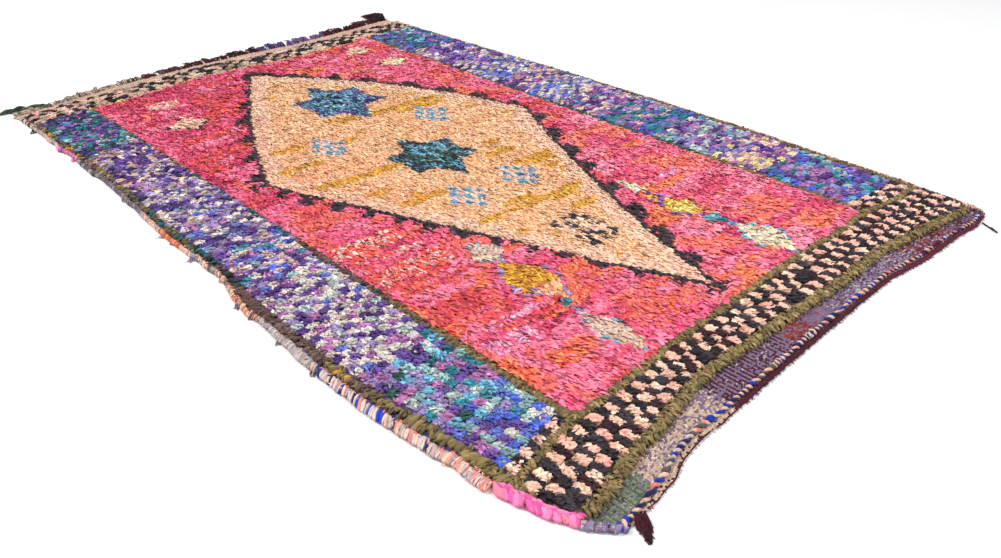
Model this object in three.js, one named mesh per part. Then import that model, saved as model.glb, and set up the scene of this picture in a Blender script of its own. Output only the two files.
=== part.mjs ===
// A hand-knotted rag rug lying flat: one pile body with flat-woven ends, two overcast
// selvedges, a comb of cut warp ends at the far end and a knotted end at each near corner.
// Millimetres, +Z up, the floor at z = 0. +Y runs along the warps, away from the near end.
import * as THREE from 'three';

// ---------------------------------------------------------------- driving sizes
const PILE_HEIGHT = 20;        // top of the pile over the floor
const PILE_RIM = 15;           // where the pile rolls over at its borders
const PILE_RIM_BAND = 14;      // how far in from a side the pile reaches full height
const FLAT_WEAVE = 4;          // thickness of the flat-woven ends
const STEP_RUN = 2;            // run of the step from flat weave up to pile
const TWINE_TOP = 9;           // top of the twined ridge on the near flat weave
const TWINE_HALF = 5.5;        // half width of that ridge at its foot
const TWINE_CREST = 3.2;       // half width of its crest
const GAP = 0.3;               // between neighbouring pieces
const COLUMNS = 28;            // divisions across
const FIELD_ROWS = 20;         // divisions along the field
const SELVEDGE_TOP = 13;       // height of the overcast edges
const FRINGE_THICK = 5;        // cut warp ends, lying flat
const FRINGE_HEAD = 7;         // depth of the comb's back
const FRINGE_PITCH = 22;       // one bunch of ends
const FRINGE_SLIT = 5;         // gap between bunches

const table = (columns, rows) => rows.map(r => Object.fromEntries(columns.map((c, k) => [c, r[k]])));

// Outer side of the left overcasting, from the near corner to the far one.
const leftEdge = table(['y', 'x'], [
  [-1201, -664], [-1151, -704], [-1092, -730], [-1000, -752], [-890, -757], [-810, -767],
  [-730, -773], [-632, -780], [-510, -776], [-355, -766], [-290, -762], [-150, -736],
  [-40, -733], [150, -735], [311, -722], [522, -711], [1090, -712], [1130, -721]]);
// Outer side of the right overcasting.
const rightEdge = table(['y', 'x'], [
  [-1190, 745], [-1150, 758], [-970, 777], [-804, 778], [-560, 788], [-316, 792], [0, 789],
  [235, 786], [560, 772], [900, 760], [1174, 752]]);
// Lines across the rug, each running from left to right.
const nearEdge = table(['x', 'y'], [
  [-664, -1201], [-600, -1198], [-525, -1188], [-470, -1170], [-410, -1163], [-356, -1166],
  [-150, -1160], [100, -1158], [298, -1161], [433, -1180], [593, -1187], [670, -1198], [745, -1190]]);
const twineLine = table(['x', 'y'], [
  [-655, -1187], [-600, -1181], [-525, -1168], [-470, -1150], [-410, -1143], [-356, -1145],
  [-150, -1141], [100, -1138], [298, -1140], [433, -1159], [593, -1167], [670, -1180], [740, -1176]]);
const nearPile = table(['x', 'y'], [
  [-720, -1148], [-630, -1142], [-564, -1123], [-506, -1113], [-455, -1110], [-346, -1086],
  [-241, -1078], [0, -1090], [217, -1103], [361, -1099], [531, -1123], [706, -1152], [770, -1148]]);
const nearField = table(['x', 'y'], [
  [-700, -1018], [-538, -986], [-402, -987], [-247, -976], [108, -976], [260, -976],
  [390, -986], [527, -984], [674, -1008], [770, -1004]]);
const farField = table(['x', 'y'], [
  [-715, 985], [-572, 1003], [-367, 1004], [-179, 1033], [-36, 1025], [171, 992], [421, 986],
  [527, 1000], [760, 1003]]);
const farPile = table(['x', 'y'], [
  [-715, 1088], [-572, 1105], [-367, 1118], [-179, 1136], [-36, 1133], [171, 1106], [421, 1094],
  [527, 1100], [760, 1108]]);
const farEdge = table(['x', 'y'], [
  [-721, 1129], [-516, 1158], [-319, 1183], [-95, 1187], [92, 1180], [285, 1158], [521, 1165],
  [753, 1174]]);
// How wide the overcasting is along each side.
const leftWrap = table(['y', 'w'], [
  [-1201, 20], [-1000, 25], [-700, 25], [-504, 22], [-367, 15], [-231, 12], [500, 12], [1130, 11]]);
const rightWrap = table(['y', 'w'], [[-1190, 12], [0, 10], [1174, 10]]);
// Cut ends: how long the bunches are and how far their tips lean sideways, from x to x.
const fringeRuns = table(['x0', 'x1', 'long', 'lean'], [
  [-706, -640, 18, -3], [-600, -505, 30, 5], [-505, -335, 38, 8], [-335, -235, 54, 12],
  [-235, -150, 30, 8], [-150, 60, 56, 14], [60, 200, 64, 16], [200, 400, 66, 18],
  [400, 600, 68, 22], [600, 705, 70, 20]]);
// Two long bunches: the outline of each from its root out to its tip.
const longEnds = table(['x', 'y', 'tipX', 'tipY', 'wide'], [
  [-618, 20, -732, 1203, 16], [728, 20, 776, 1304, 30]]);
// Bunches at the near corners: distance along, half width, height.
const tasselForm = table(['s', 'half', 'top'], [
  [0, 3.5, 7], [9, 5.5, 10], [22, 9, 10], [36, 8, 8], [47, 4, 5], [54, 1.5, 3]]);
const tailForm = table(['s', 'half', 'top'], [
  [0, 3, 6], [12, 2.6, 5], [24, 2.6, 5], [29, 5, 9], [36, 5, 9], [40, 3, 6], [48, 2, 3]]);
const TASSEL_ROOT = { x: -621, drop: 3.1 }, TASSEL_TIP = { x: -659, y: -1240 };
const TAIL_ROOT = { x: 699, drop: 2.2 }, TAIL_TIP = { x: 674, y: -1241 };

// ---------------------------------------------------------------- helpers
function along(rows, key, value, t) {
  if (t <= rows[0][key]) return rows[0][value];
  for (let k = 1; k < rows.length; k++) {
    const a = rows[k - 1], b = rows[k];
    if (t <= b[key]) return a[value] + (b[value] - a[value]) * (t - a[key]) / (b[key] - a[key]);
  }
  return rows[rows.length - 1][value];
}
const lineY = (rows, x) => along(rows, 'x', 'y', x);
const bodyLeft = y => along(leftEdge, 'y', 'x', y) + along(leftWrap, 'y', 'w', y) + GAP;
const bodyRight = y => along(rightEdge, 'y', 'x', y) - along(rightWrap, 'y', 'w', y) - GAP;

function closedMesh(name, points, faces, material) {
  let volume = 0;
  for (const [a, b, c] of faces) {
    const [p, q, r] = [points[a], points[b], points[c]];
    volume += p[0] * (q[1] * r[2] - q[2] * r[1]) + p[1] * (q[2] * r[0] - q[0] * r[2])
      + p[2] * (q[0] * r[1] - q[1] * r[0]);
  }
  const geometry = new THREE.BufferGeometry();
  geometry.setAttribute('position', new THREE.Float32BufferAttribute(points.flat(), 3));
  geometry.setIndex((volume < 0 ? faces.map(([a, b, c]) => [a, c, b]) : faces).flat());
  geometry.computeVertexNormals();
  const mesh = new THREE.Mesh(geometry, material);
  mesh.name = name;
  return mesh;
}

// A skin through rings of equal count, closed by a fan at each end.
function loft(name, rings, material) {
  const n = rings[0].length, points = rings.flat(), faces = [];
  for (let k = 0; k + 1 < rings.length; k++) {
    for (let i = 0; i < n; i++) {
      const a = k * n + i, b = k * n + (i + 1) % n;
      faces.push([a, b, b + n], [a, b + n, a + n]);
    }
  }
  const last = (rings.length - 1) * n;
  for (let i = 1; i + 1 < n; i++) faces.push([0, i + 1, i], [last, last + i, last + i + 1]);
  return closedMesh(name, points, faces, material);
}

const cloth = (color, roughness = 0.95) => new THREE.MeshStandardMaterial({ color, roughness, metalness: 0 });

// ---------------------------------------------------------------- the body
// Every row is a line across the rug with its own height.
const rowLines = [
  { y: x => lineY(nearEdge, x), z: FLAT_WEAVE },
  { y: x => lineY(twineLine, x) - TWINE_HALF, z: FLAT_WEAVE },
  { y: x => lineY(twineLine, x) - TWINE_CREST, z: TWINE_TOP },
  { y: x => lineY(twineLine, x) + TWINE_CREST, z: TWINE_TOP },
  { y: x => lineY(twineLine, x) + TWINE_HALF, z: FLAT_WEAVE },
  { y: x => lineY(nearPile, x) - STEP_RUN, z: FLAT_WEAVE },
  { y: x => lineY(nearPile, x), z: PILE_RIM, pile: true },
  { y: x => lineY(nearPile, x) + PILE_RIM_BAND, z: PILE_HEIGHT, pile: true }];
for (let k = 0; k <= FIELD_ROWS; k++) {
  const t = k / FIELD_ROWS;
  rowLines.push({
    y: x => lineY(nearField, x) * (1 - t) + lineY(farField, x) * t, z: PILE_HEIGHT, pile: true });
}
rowLines.push(
  { y: x => lineY(farPile, x) - PILE_RIM_BAND, z: PILE_HEIGHT, pile: true },
  { y: x => lineY(farPile, x), z: PILE_RIM, pile: true },
  { y: x => lineY(farPile, x) + STEP_RUN, z: FLAT_WEAVE },
  { y: x => lineY(farEdge, x), z: FLAT_WEAVE, bare: true });

// A point of a row, a fraction s of the way across: the sides follow the outline.
function rowPoint(row, s, inset) {
  let x = s * 1500 - 750, y = 0;
  for (let k = 0; k < 12; k++) {
    y = row.y(x);
    const left = row.bare ? along(leftEdge, 'y', 'x', y) : bodyLeft(y);
    const right = row.bare ? along(rightEdge, 'y', 'x', y) : bodyRight(y);
    x = left + inset + (right - left - 2 * inset) * s;
  }
  return [x, y];
}
const stations = [{ s: 0, inset: 0, rim: true }];
for (let i = 0; i <= COLUMNS; i++) stations.push({ s: i / COLUMNS, inset: PILE_RIM_BAND });
stations.push({ s: 1, inset: 0, rim: true });

const grid = rowLines.map(row => stations.map(st => {
  const [x, y] = rowPoint(row, st.s, st.inset);
  return [x, y, row.pile && st.rim ? PILE_RIM : row.z];
}));

function body() {
  const rows = grid.length, columns = stations.length, points = [], faces = [];
  for (const row of grid) for (const p of row) points.push(p);
  for (const row of grid) for (const [x, y] of row) points.push([x, y, 0]);
  const top = (j, i) => j * columns + i, low = (j, i) => rows * columns + j * columns + i;
  for (let j = 0; j + 1 < rows; j++) {
    for (let i = 0; i + 1 < columns; i++) {
      faces.push([top(j, i), top(j, i + 1), top(j + 1, i + 1)], [top(j, i), top(j + 1, i + 1), top(j + 1, i)]);
      faces.push([low(j, i), low(j + 1, i + 1), low(j, i + 1)], [low(j, i), low(j + 1, i), low(j + 1, i + 1)]);
    }
  }
  const wall = (a, b, c, d) => faces.push([a, b, c], [a, c, d]);
  for (let i = 0; i + 1 < columns; i++) {
    wall(low(0, i), low(0, i + 1), top(0, i + 1), top(0, i));
    wall(low(rows - 1, i + 1), low(rows - 1, i), top(rows - 1, i), top(rows - 1, i + 1));
  }
  for (let j = 0; j + 1 < rows; j++) {
    wall(low(j + 1, 0), low(j, 0), top(j, 0), top(j + 1, 0));
    wall(low(j, columns - 1), low(j + 1, columns - 1), top(j + 1, columns - 1), top(j, columns - 1));
  }
  return closedMesh('rug', points, faces, cloth(0xd86a80));
}

// ---------------------------------------------------------------- overcast sides
// One ring for each row of the body, set off its side by the gap; side is -1 left, +1 right.
function selvedge(name, side, wraps, color) {
  const column = side < 0 ? 0 : stations.length - 1;
  const lines = grid.slice(0, grid.length - 2).map(row => row[column]);
  const a = lines[lines.length - 2], b = lines[lines.length - 1];
  lines[lines.length - 1] = [a[0] + (b[0] - a[0]) * 0.9, a[1] + (b[1] - a[1]) * 0.9];
  const rings = lines.map(([x, y]) => {
    const w = along(wraps, 'y', 'w', y), h = SELVEDGE_TOP;
    const profile = [[0, 0], [w * 0.86, 0], [w, h * 0.3], [w * 0.94, h * 0.68], [w * 0.68, h * 0.95],
      [w * 0.4, h], [w * 0.12, h * 0.9], [0, h * 0.6]];
    return profile.map(([out, z]) => [x + side * (GAP * 1.3 + out), y, z]);
  });
  return loft(name, rings, cloth(color));
}

// ---------------------------------------------------------------- cut warp ends
// A flat plate of triangles that share corners, given its thickness.
function plate(name, corners, triangles, thick, material) {
  const n = corners.length, points = [...corners.map(([x, y]) => [x, y, 0]), ...corners.map(([x, y]) => [x, y, thick])];
  const faces = [], sides = new Map();
  for (const [a, b, c] of triangles) {
    faces.push([a, c, b], [a + n, b + n, c + n]);
    for (const [p, q] of [[a, b], [b, c], [c, a]]) {
      if (!sides.delete(`${q} ${p}`)) sides.set(`${p} ${q}`, [p, q]);
    }
  }
  for (const [p, q] of sides.values()) faces.push([p, q, q + n], [p, q + n, p + n]);
  return closedMesh(name, points, faces, material);
}

function fringe() {
  const back = grid[grid.length - 1].map(([x, y]) => ({ x, y: y + GAP }));
  const backY = x => lineY(back, x);
  // Each bunch grows from a stretch of the comb's back through pairs of left and right points.
  const bunches = [];
  for (const run of fringeRuns) {
    const count = Math.max(1, Math.round((run.x1 - run.x0) / FRINGE_PITCH)), pitch = (run.x1 - run.x0) / count;
    for (let k = 0; k < count; k++) {
      const x0 = run.x0 + k * pitch + FRINGE_SLIT / 2, x1 = x0 + pitch - FRINGE_SLIT, mid = (x0 + x1) / 2;
      const long = run.long * (1 + 0.16 * Math.sin(2.7 * k + run.x0)), tip = mid + run.lean;
      const y = backY(mid) + long;
      bunches.push({ x0, x1, pairs: [[[tip - 4, y - 2], [tip + 3, y]]] });
    }
  }
  for (const end of longEnds) {
    const from = new THREE.Vector2(end.x, backY(end.x) + end.y), to = new THREE.Vector2(end.tipX, end.tipY);
    const away = to.clone().sub(from).normalize(), across = new THREE.Vector2(away.y, -away.x);
    const pair = (t, half) => [-1, 1].map(side =>
      from.clone().lerp(to, t).addScaledVector(across, side * half).toArray());
    bunches.push({ x0: end.x - end.wide / 2, x1: end.x + end.wide / 2,
      pairs: [pair(0, end.wide / 2), pair(0.55, end.wide * 0.45), pair(1, 2)] });
  }
  const cuts = [...new Set([...back.map(p => p.x), ...bunches.flatMap(b => [b.x0, b.x1])])].sort((p, q) => p - q);
  const corners = [], triangles = [];
  for (const x of cuts) corners.push([x, backY(x)], [x, backY(x) + FRINGE_HEAD]);
  for (let k = 0; k + 1 < cuts.length; k++) {
    triangles.push([2 * k, 2 * k + 2, 2 * k + 3], [2 * k, 2 * k + 3, 2 * k + 1]);
  }
  for (const { x0, x1, pairs } of bunches) {
    const foot = cuts.map((x, k) => [x, 2 * k + 1]).filter(([x]) => x >= x0 && x <= x1).map(([, at]) => at);
    let at = corners.push(...pairs.flat()) - pairs.length * 2;
    for (let k = 0; k + 1 < foot.length; k++) triangles.push([at, foot[k], foot[k + 1]]);
    triangles.push([at, foot[foot.length - 1], at + 1]);
    for (let k = 1; k < pairs.length; k++, at += 2) triangles.push([at, at + 1, at + 3], [at, at + 3, at + 2]);
  }
  return plate('fringe_far', corners, triangles, FRINGE_THICK, cloth(0x7d6470));
}

// ---------------------------------------------------------------- knotted ends at the near corners
function bunch(name, root, tip, form, color) {
  const start = new THREE.Vector2(root.x, lineY(nearEdge, root.x) - root.drop);
  const away = new THREE.Vector2(tip.x, tip.y).sub(start), reach = away.length();
  away.normalize();
  const scale = reach / form[form.length - 1].s, across = new THREE.Vector2(-away.y, away.x);
  const rings = form.map(({ s, half, top }) => {
    const c = start.clone().addScaledVector(away, s * scale);
    const profile = [[-0.8, 0], [0.8, 0], [1, 0.35], [0.75, 0.85], [0, 1], [-0.75, 0.85], [-1, 0.35]];
    return profile.map(([u, z]) => [c.x + across.x * u * half, c.y + across.y * u * half, z * top]);
  });
  return loft(name, rings, cloth(color));
}

// ---------------------------------------------------------------- the rug, centred over the origin
const pieces = new THREE.Group();
pieces.add(
  body(),
  selvedge('selvedge_left', -1, leftWrap, 0xd98fa0),
  selvedge('selvedge_right', 1, rightWrap, 0xdba88c),
  fringe(),
  bunch('corner_tassel', TASSEL_ROOT, TASSEL_TIP, tasselForm, 0x4b1423),
  bunch('corner_tail', TAIL_ROOT, TAIL_TIP, tailForm, 0x2c2024));
const box = new THREE.Box3().setFromObject(pieces);
pieces.position.set(-(box.min.x + box.max.x) / 2, -(box.min.y + box.max.y) / 2, -box.min.z);

const rug = new THREE.Group();
rug.add(pieces);
rug.updateMatrixWorld(true);

export default rug;
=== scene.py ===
# A hand-knotted rag-pile rug: woven ground, rag pile, flat-woven ends, twined row,
# overcast edges and cut warp ends. Tables are in millimetres, as in the solid model.
import math

import bpy
import numpy as np
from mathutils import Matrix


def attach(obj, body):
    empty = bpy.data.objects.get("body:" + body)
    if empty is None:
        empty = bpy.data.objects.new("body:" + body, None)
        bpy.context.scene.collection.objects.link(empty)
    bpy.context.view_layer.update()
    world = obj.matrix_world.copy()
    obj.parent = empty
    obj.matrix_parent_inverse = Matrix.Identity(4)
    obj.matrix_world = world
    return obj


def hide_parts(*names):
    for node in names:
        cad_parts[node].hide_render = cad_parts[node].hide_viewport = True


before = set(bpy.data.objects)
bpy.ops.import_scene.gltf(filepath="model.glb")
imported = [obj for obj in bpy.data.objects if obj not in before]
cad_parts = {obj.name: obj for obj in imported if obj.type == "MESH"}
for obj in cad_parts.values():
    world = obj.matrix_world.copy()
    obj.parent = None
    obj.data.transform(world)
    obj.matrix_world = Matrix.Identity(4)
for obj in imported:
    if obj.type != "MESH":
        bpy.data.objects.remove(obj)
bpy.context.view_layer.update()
rng = np.random.default_rng(20)

# ------------------------------------------------------------------ frame and outline
SHIFT = np.array([-6.1707, -31.4030, 0.0])      # tables to the part's frame, mm
CAMERA = np.array([-1410.0, -1700.0, 1000.0])   # camera in the tables' frame, mm
PITCH, YAW, FOCAL_PX = 32.197, 44.398, 870.236
GAP = 0.3

LEFT = np.array([  # y, x: outer side of the left overcasting
    [-1201, -664], [-1151, -704], [-1092, -730], [-1000, -752], [-890, -757], [-810, -767],
    [-730, -773], [-632, -780], [-510, -776], [-355, -766], [-290, -762], [-150, -736],
    [-40, -733], [150, -735], [311, -722], [522, -711], [1090, -712], [1130, -721]], float)
RIGHT = np.array([  # y, x: outer side of the right overcasting
    [-1190, 745], [-1150, 758], [-970, 777], [-804, 778], [-560, 788], [-316, 792], [0, 789],
    [235, 786], [560, 772], [900, 760], [1174, 752]], float)
NEAR_EDGE = np.array([  # x, y
    [-664, -1201], [-600, -1198], [-525, -1188], [-470, -1170], [-410, -1163], [-356, -1166],
    [-150, -1160], [100, -1158], [298, -1161], [433, -1180], [593, -1187], [670, -1198], [745, -1190]], float)
TWINE = np.array([
    [-655, -1187], [-600, -1181], [-525, -1168], [-470, -1150], [-410, -1143], [-356, -1145],
    [-150, -1141], [100, -1138], [298, -1140], [433, -1159], [593, -1167], [670, -1180], [740, -1176]], float)
NEAR_PILE = np.array([
    [-720, -1148], [-630, -1142], [-564, -1123], [-506, -1113], [-455, -1110], [-346, -1086],
    [-241, -1078], [0, -1090], [217, -1103], [361, -1099], [531, -1123], [706, -1152], [770, -1148]], float)
NEAR_FIELD = np.array([
    [-700, -1018], [-538, -986], [-402, -987], [-247, -976], [108, -976], [260, -976],
    [390, -986], [527, -984], [674, -1008], [770, -1004]], float)
FAR_FIELD = np.array([
    [-715, 985], [-572, 1003], [-367, 1004], [-179, 1033], [-36, 1025], [171, 992], [421, 986],
    [527, 1000], [760, 1003]], float)
FAR_PILE = np.array([
    [-715, 1088], [-572, 1105], [-367, 1118], [-179, 1136], [-36, 1133], [171, 1106], [421, 1094],
    [527, 1100], [760, 1108]], float)
FAR_EDGE = np.array([
    [-721, 1129], [-516, 1158], [-319, 1183], [-95, 1187], [92, 1180], [285, 1158], [521, 1165],
    [753, 1174]], float)
LEFT_WRAP = np.array([[-1201, 20], [-1000, 25], [-700, 25], [-504, 22], [-367, 15], [-231, 12], [500, 12], [1130, 11]], float)
RIGHT_WRAP = np.array([[-1190, 12], [0, 10], [1174, 10]], float)


def at(table, t):
    return np.interp(t, table[:, 0], table[:, 1])


def body_left(y):
    return at(LEFT, y) + at(LEFT_WRAP, y) + GAP


def body_right(y):
    return at(RIGHT, y) - at(RIGHT_WRAP, y) - GAP


def place(points):
    return (np.asarray(points, float) + SHIFT) * 0.001


# ------------------------------------------------------------------ colours
def linear(rgb):
    c = np.asarray(rgb, float) / 255.0
    return np.where(c <= 0.04045, c / 12.92, ((c + 0.055) / 1.055) ** 2.4)


DYE = {name: np.array(rgb, float) for name, rgb in {
    "hot": (243, 96, 130), "hot2": (246, 118, 146), "rose": (206, 62, 98), "coral": (250, 108, 92), "flame": (248, 78, 58),
    "tang": (250, 128, 88), "dcoral": (220, 78, 82), "wine2": (176, 48, 82), "blush": (246, 134, 160), "salmon": (244, 122, 116),
    "fleck": (242, 84, 70), "magfleck": (232, 120, 176), "peach": (253, 189, 144), "peach2": (249, 175, 124), "peach3": (254, 201, 164),
    "rim": (253, 196, 170), "ochre": (222, 158, 48), "ochre2": (204, 144, 54), "gold": (230, 180, 82), "yell": (238, 188, 104),
    "butter": (242, 216, 142), "black": (46, 38, 44), "char": (62, 52, 60), "soot": (58, 32, 38), "check": (250, 199, 178),
    "check2": (246, 185, 166), "olive": (140, 120, 78), "olive2": (116, 100, 64), "olive3": (158, 136, 92), "brown": (116, 90, 84),
    "brown2": (94, 70, 64), "pine": (48, 88, 80), "teal": (54, 138, 152), "dteal": (38, 112, 124), "peri": (108, 124, 202),
    "royal": (84, 104, 196), "lav": (158, 138, 186), "purple": (110, 80, 154), "deep": (88, 54, 128), "mauve": (178, 116, 170),
    "sage": (146, 182, 182), "mist": (182, 196, 192), "cream": (222, 197, 192), "cream2": (214, 204, 196), "sky": (112, 168, 198),
    "pink": (246, 92, 168), "pink2": (248, 136, 186), "orange": (196, 98, 46), "grey": (166, 154, 154), "lgrey": (192, 180, 178),
    "blue": (34, 62, 180), "navy": (36, 40, 92), "shell": (242, 194, 168), "corl": (234, 138, 116), "maroon": (82, 20, 38),
    "wine": (108, 44, 54), "wine3": (106, 20, 50), "fern": (58, 76, 58), "fern2": (94, 108, 88), "beige": (206, 180, 166),
    "sand": (220, 190, 166), "lilac": (122, 104, 150), "lilac2": (138, 118, 154), "heather": (140, 116, 142), "ggrey": (132, 142, 128),
    "hair": (96, 76, 70), "white": (244, 236, 226), "dgrey": (98, 92, 96), "rust": (166, 58, 50), "bluegrey": (116, 132, 174),
    "plum": (46, 6, 16), "bsand": (232, 202, 180), "starblue": (96, 158, 188), "greycen": (98, 140, 130),
}.items()}


def pick(names, weights=None):
    w = None if weights is None else np.array(weights, float) / sum(weights)
    return names[rng.choice(len(names), p=w)]


NAMES = list(DYE)
INDEX = {name: k for k, name in enumerate(NAMES)}
LINEAR = np.stack([linear(DYE[name]) for name in NAMES])


def choose(n, names, weights=None):
    """n dyes drawn from a few, as numbers."""
    w = None if weights is None else np.array(weights, float) / sum(weights)
    return rng.choice([INDEX[k] for k in names], n, p=w)


def paint(dye, mask, names, weights=None):
    dye[mask] = choose(int(mask.sum()), names, weights)


# ------------------------------------------------------------------ layout of the pile
def field_y(t, x):
    """The rows of the middle field, t from 0 at the near end to 1 at the far end."""
    a, b = at(NEAR_FIELD, x) + 10, at(FAR_FIELD, x) - 1
    return a + (b - a) * t


def guard_wide(table, y):
    """How wide a guard is along the rug."""
    mid = [0.5 * (max(row[0], -1060) + min(row[1], 1010)) for row in table]
    return np.interp(y, mid, [row[3] for row in table])


def border_x(side, s, y):
    """Across a border, s from 0 at the outer guard to 1 at the inner guard."""
    if side < 0:
        a, b = body_left(y) + guard_wide(LEFT_OUTER, y) - 1, -526 - guard_wide(LEFT_INNER, y)
    else:
        a, b = body_right(y) - guard_wide(RIGHT_OUTER, y) + 1, 526 + guard_wide(RIGHT_INNER, y)
    return a + (b - a) * s


def strip_x(s, y):
    """Across the whole pile."""
    a, b = body_left(y) + 3, body_right(y) - 3
    return a + (b - a) * s


def noise_map(long_x, long_y, seed):
    """Smooth noise in millimetres, drawn out along the weft."""
    g = np.random.default_rng(seed)
    nx, ny = int(2200 / long_x) + 5, int(2800 / long_y) + 5
    grid = g.random((ny, nx))
    off = g.random(ny) * 1.0

    def sample(x, y):
        fy = (np.asarray(y, float) + 1300) / long_y
        iy = np.floor(fy).astype(int)
        ty = fy - iy
        ty = ty * ty * (3 - 2 * ty)

        def line(i):
            fx = (np.asarray(x, float) + 850) / long_x + off[i]
            ix = np.floor(fx).astype(int)
            tx = fx - ix
            tx = tx * tx * (3 - 2 * tx)
            return grid[i, ix] * (1 - tx) + grid[i, ix + 1] * tx
        return line(iy) * (1 - ty) + line(iy + 1) * ty
    return sample


fine_streak = noise_map(46, 9, 11)
streak = noise_map(120, 16, 12)

# ------------------------------------------------------------------ pattern of the field
# The lozenge: far, right, near and left corner, and how far the side after each corner bows out.
CORNERS = [(-15, 925, 65), (435, 85, -20), (-10, -905, 5), (-425, 160, 20)]
LOZENGE = []
for k, (ax, ay, bow) in enumerate(CORNERS):
    bx, by, _ = CORNERS[(k + 1) % 4]
    size = math.hypot(bx - ax, by - ay)
    for t in (0.0, 0.25, 0.5, 0.75):
        out = 4 * t * (1 - t) * bow / size
        LOZENGE.append((ax + (bx - ax) * t - (by - ay) * out, ay + (by - ay) * t + (bx - ax) * out, k))
# Each side has its own teeth: every, long, line, deep.
TEETH = [(128, 60, 8.5, 35), (128, 66, 9, 40), (84, 40, 8.5, 42), (134, 62, 8.5, 38)]


def lozenge(x, y):
    """Distance outside the lozenge (negative inside), the run along its line and the side."""
    best = np.full(x.shape, 1e9)
    run_at, side_at = np.zeros(x.shape), np.zeros(x.shape, int)
    inside = np.zeros(x.shape, bool)
    total = 0.0
    n = len(LOZENGE)
    for k in range(n):
        ax, ay, side = LOZENGE[k]
        bx, by, _ = LOZENGE[(k + 1) % n]
        dx, dy = bx - ax, by - ay
        size = math.hypot(dx, dy)
        t = np.clip(((x - ax) * dx + (y - ay) * dy) / size ** 2, 0, 1)
        dist = np.hypot(x - ax - t * dx, y - ay - t * dy)
        hit = dist < best
        best[hit] = dist[hit]
        run_at[hit] = (total + t * size)[hit]
        side_at[hit] = side
        total += size
        cross = (ay > y) != (by > y)
        with np.errstate(divide="ignore", invalid="ignore"):
            xc = ax + (y - ay) / (by - ay if by != ay else 1e-9) * dx
        inside ^= cross & (x < xc)
    return np.where(inside, -best, best), run_at, side_at


# A six-pointed star, one point straight up the rug, a little uneven as it is woven.
STAR = []
for k in range(12):
    far = 82 if k % 2 else (148 if k % 6 == 0 else 126)
    far *= 1 + 0.05 * math.sin(2.1 * k + 0.7)
    turn = math.radians(90 - 30 * k + 3 * math.sin(1.7 * k))
    STAR.append((far * math.cos(turn), far * math.sin(turn)))


def star(x, y, cx, cy, size):
    px, py = (x - cx) / size, (y - cy) / size
    inside = np.zeros(x.shape, bool)
    for k in range(len(STAR)):
        (ax, ay), (bx, by) = STAR[k], STAR[(k + 1) % len(STAR)]
        inside ^= ((ay > py) != (by > py)) & (px < ax + (py - ay) / (by - ay) * (bx - ax))
    return inside


# The pink rags: each knot row is laid from a few long rags, often the same as in the row before.
RAGS = [  # dyes, weights, share near, share far
    (("hot", "hot2", "rose"), (7, 2, 0.8), 0.33, 0.42),
    (("blush", "hot2", "hot"), (6, 3, 1), 0.23, 0.13),
    (("coral", "salmon", "hot"), (6, 3, 1), 0.16, 0.08),
    (("tang", "coral", "flame"), (6, 3, 1), 0.08, 0.03),
    (("dcoral", "rose", "coral"), (6, 2, 2), 0.09, 0.12),
    (("rose", "hot", "wine2"), (6, 3, 0.6), 0.08, 0.22)]


def rag_rows():
    g = np.random.default_rng(77)
    step, pitch = 4.0, 10.7
    cols, rows = 280, 205
    grid = np.zeros((rows, cols), int)
    row = g.integers(0, len(RAGS), cols)
    for r in range(rows):
        far = np.clip((r * pitch - 1100 + 150) / 700, 0, 1)
        row = np.roll(row, int(g.integers(-2, 3)))
        share = np.array([a * (1 - far) + b * far for _, _, a, b in RAGS])
        for _ in range(int(g.poisson(4.6 if r else 40))):
            c = int(g.integers(-10, cols))
            long = int(np.clip(g.lognormal(4.5, 0.6), 30, 300) / step)
            x = c * step - 560
            w = share.copy()
            if x < 0 and r * pitch - 1100 > 250:
                w *= (0.45, 0.8, 1.1, 1.0, 2.6, 2.2)
            if x < -150 and -200 < r * pitch - 1100 < 260:
                w *= (1.3, 1.2, 0.6, 0.3, 1.2, 1.1)
            if x < -280 and -620 < r * pitch - 1100 < -180:
                w *= (1.1, 1.1, 1.3, 1.0, 1.2, 0.8)
            if x > 180 and r * pitch - 1100 < -420:
                w *= (0.9, 1.1, 1.4, 1.2, 1.0, 0.7)
            row[max(c, 0):c + long] = g.choice(len(RAGS), p=w / w.sum())
        grid[r] = row
    return grid, step, pitch


RAG_GRID, RAG_STEP, RAG_PITCH = rag_rows()

# Gold lines along the weft inside the lozenge: x from, x to, y, half height.
GOLD = [(56, 312, 356, 15), (306, 420, 324, 9), (200, 240, 540, 9), (-58, 66, 378, 14), (-92, -25, 408, 9), (-63, -17, 275, 9),
        (-321, -213, 310, 13), (127, 300, 315, 13), (-127, -73, 252, 9), (-400, -330, 197, 8), (-365, -235, 190, 11), (-400, -235, 50, 10),
        (-318, -85, 30, 13), (-292, -207, -78, 12), (-262, -107, -178, 11), (-206, -170, -150, 12), (143, 210, -40, 13), (90, 200, -108, 13),
        (350, 398, 88, 10), (117, 282, -196, 13), (160, 247, -229, 11), (165, 240, -262, 9), (-67, 27, -345, 11), (-180, -30, -374, 9),
        (-50, 185, -386, 13), (36, 138, -470, 12), (33, 130, -412, 9), (230, 300, 430, 8), (-200, -150, 640, 8), (-110, -60, 700, 7),
        (180, 240, -300, 9), (-150, -110, -470, 10), (-96, -66, -530, 10), (60, 90, -610, 8), (-60, -40, -690, 7), (300, 350, 200, 8),
        (10, 110, 428, 11)]
# Blue spots, nine to a diamond: centre, half width, half length.
BLUE_TILES = [(197, 243, 62, 82), (-175, 250, 56, 82), (81, -247, 58, 78), (-100, -243, 59, 77)]
# The dark open figure near the lozenge's near end, by knots, far side first.
LATTICE = ["BB.B.B.", "B...BB.", "..B...B", "..BB..B", ".....B.", "..B...B", "B.BB...", ".B.BB.B", ".B..B.B", "BB.B.B."]
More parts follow.
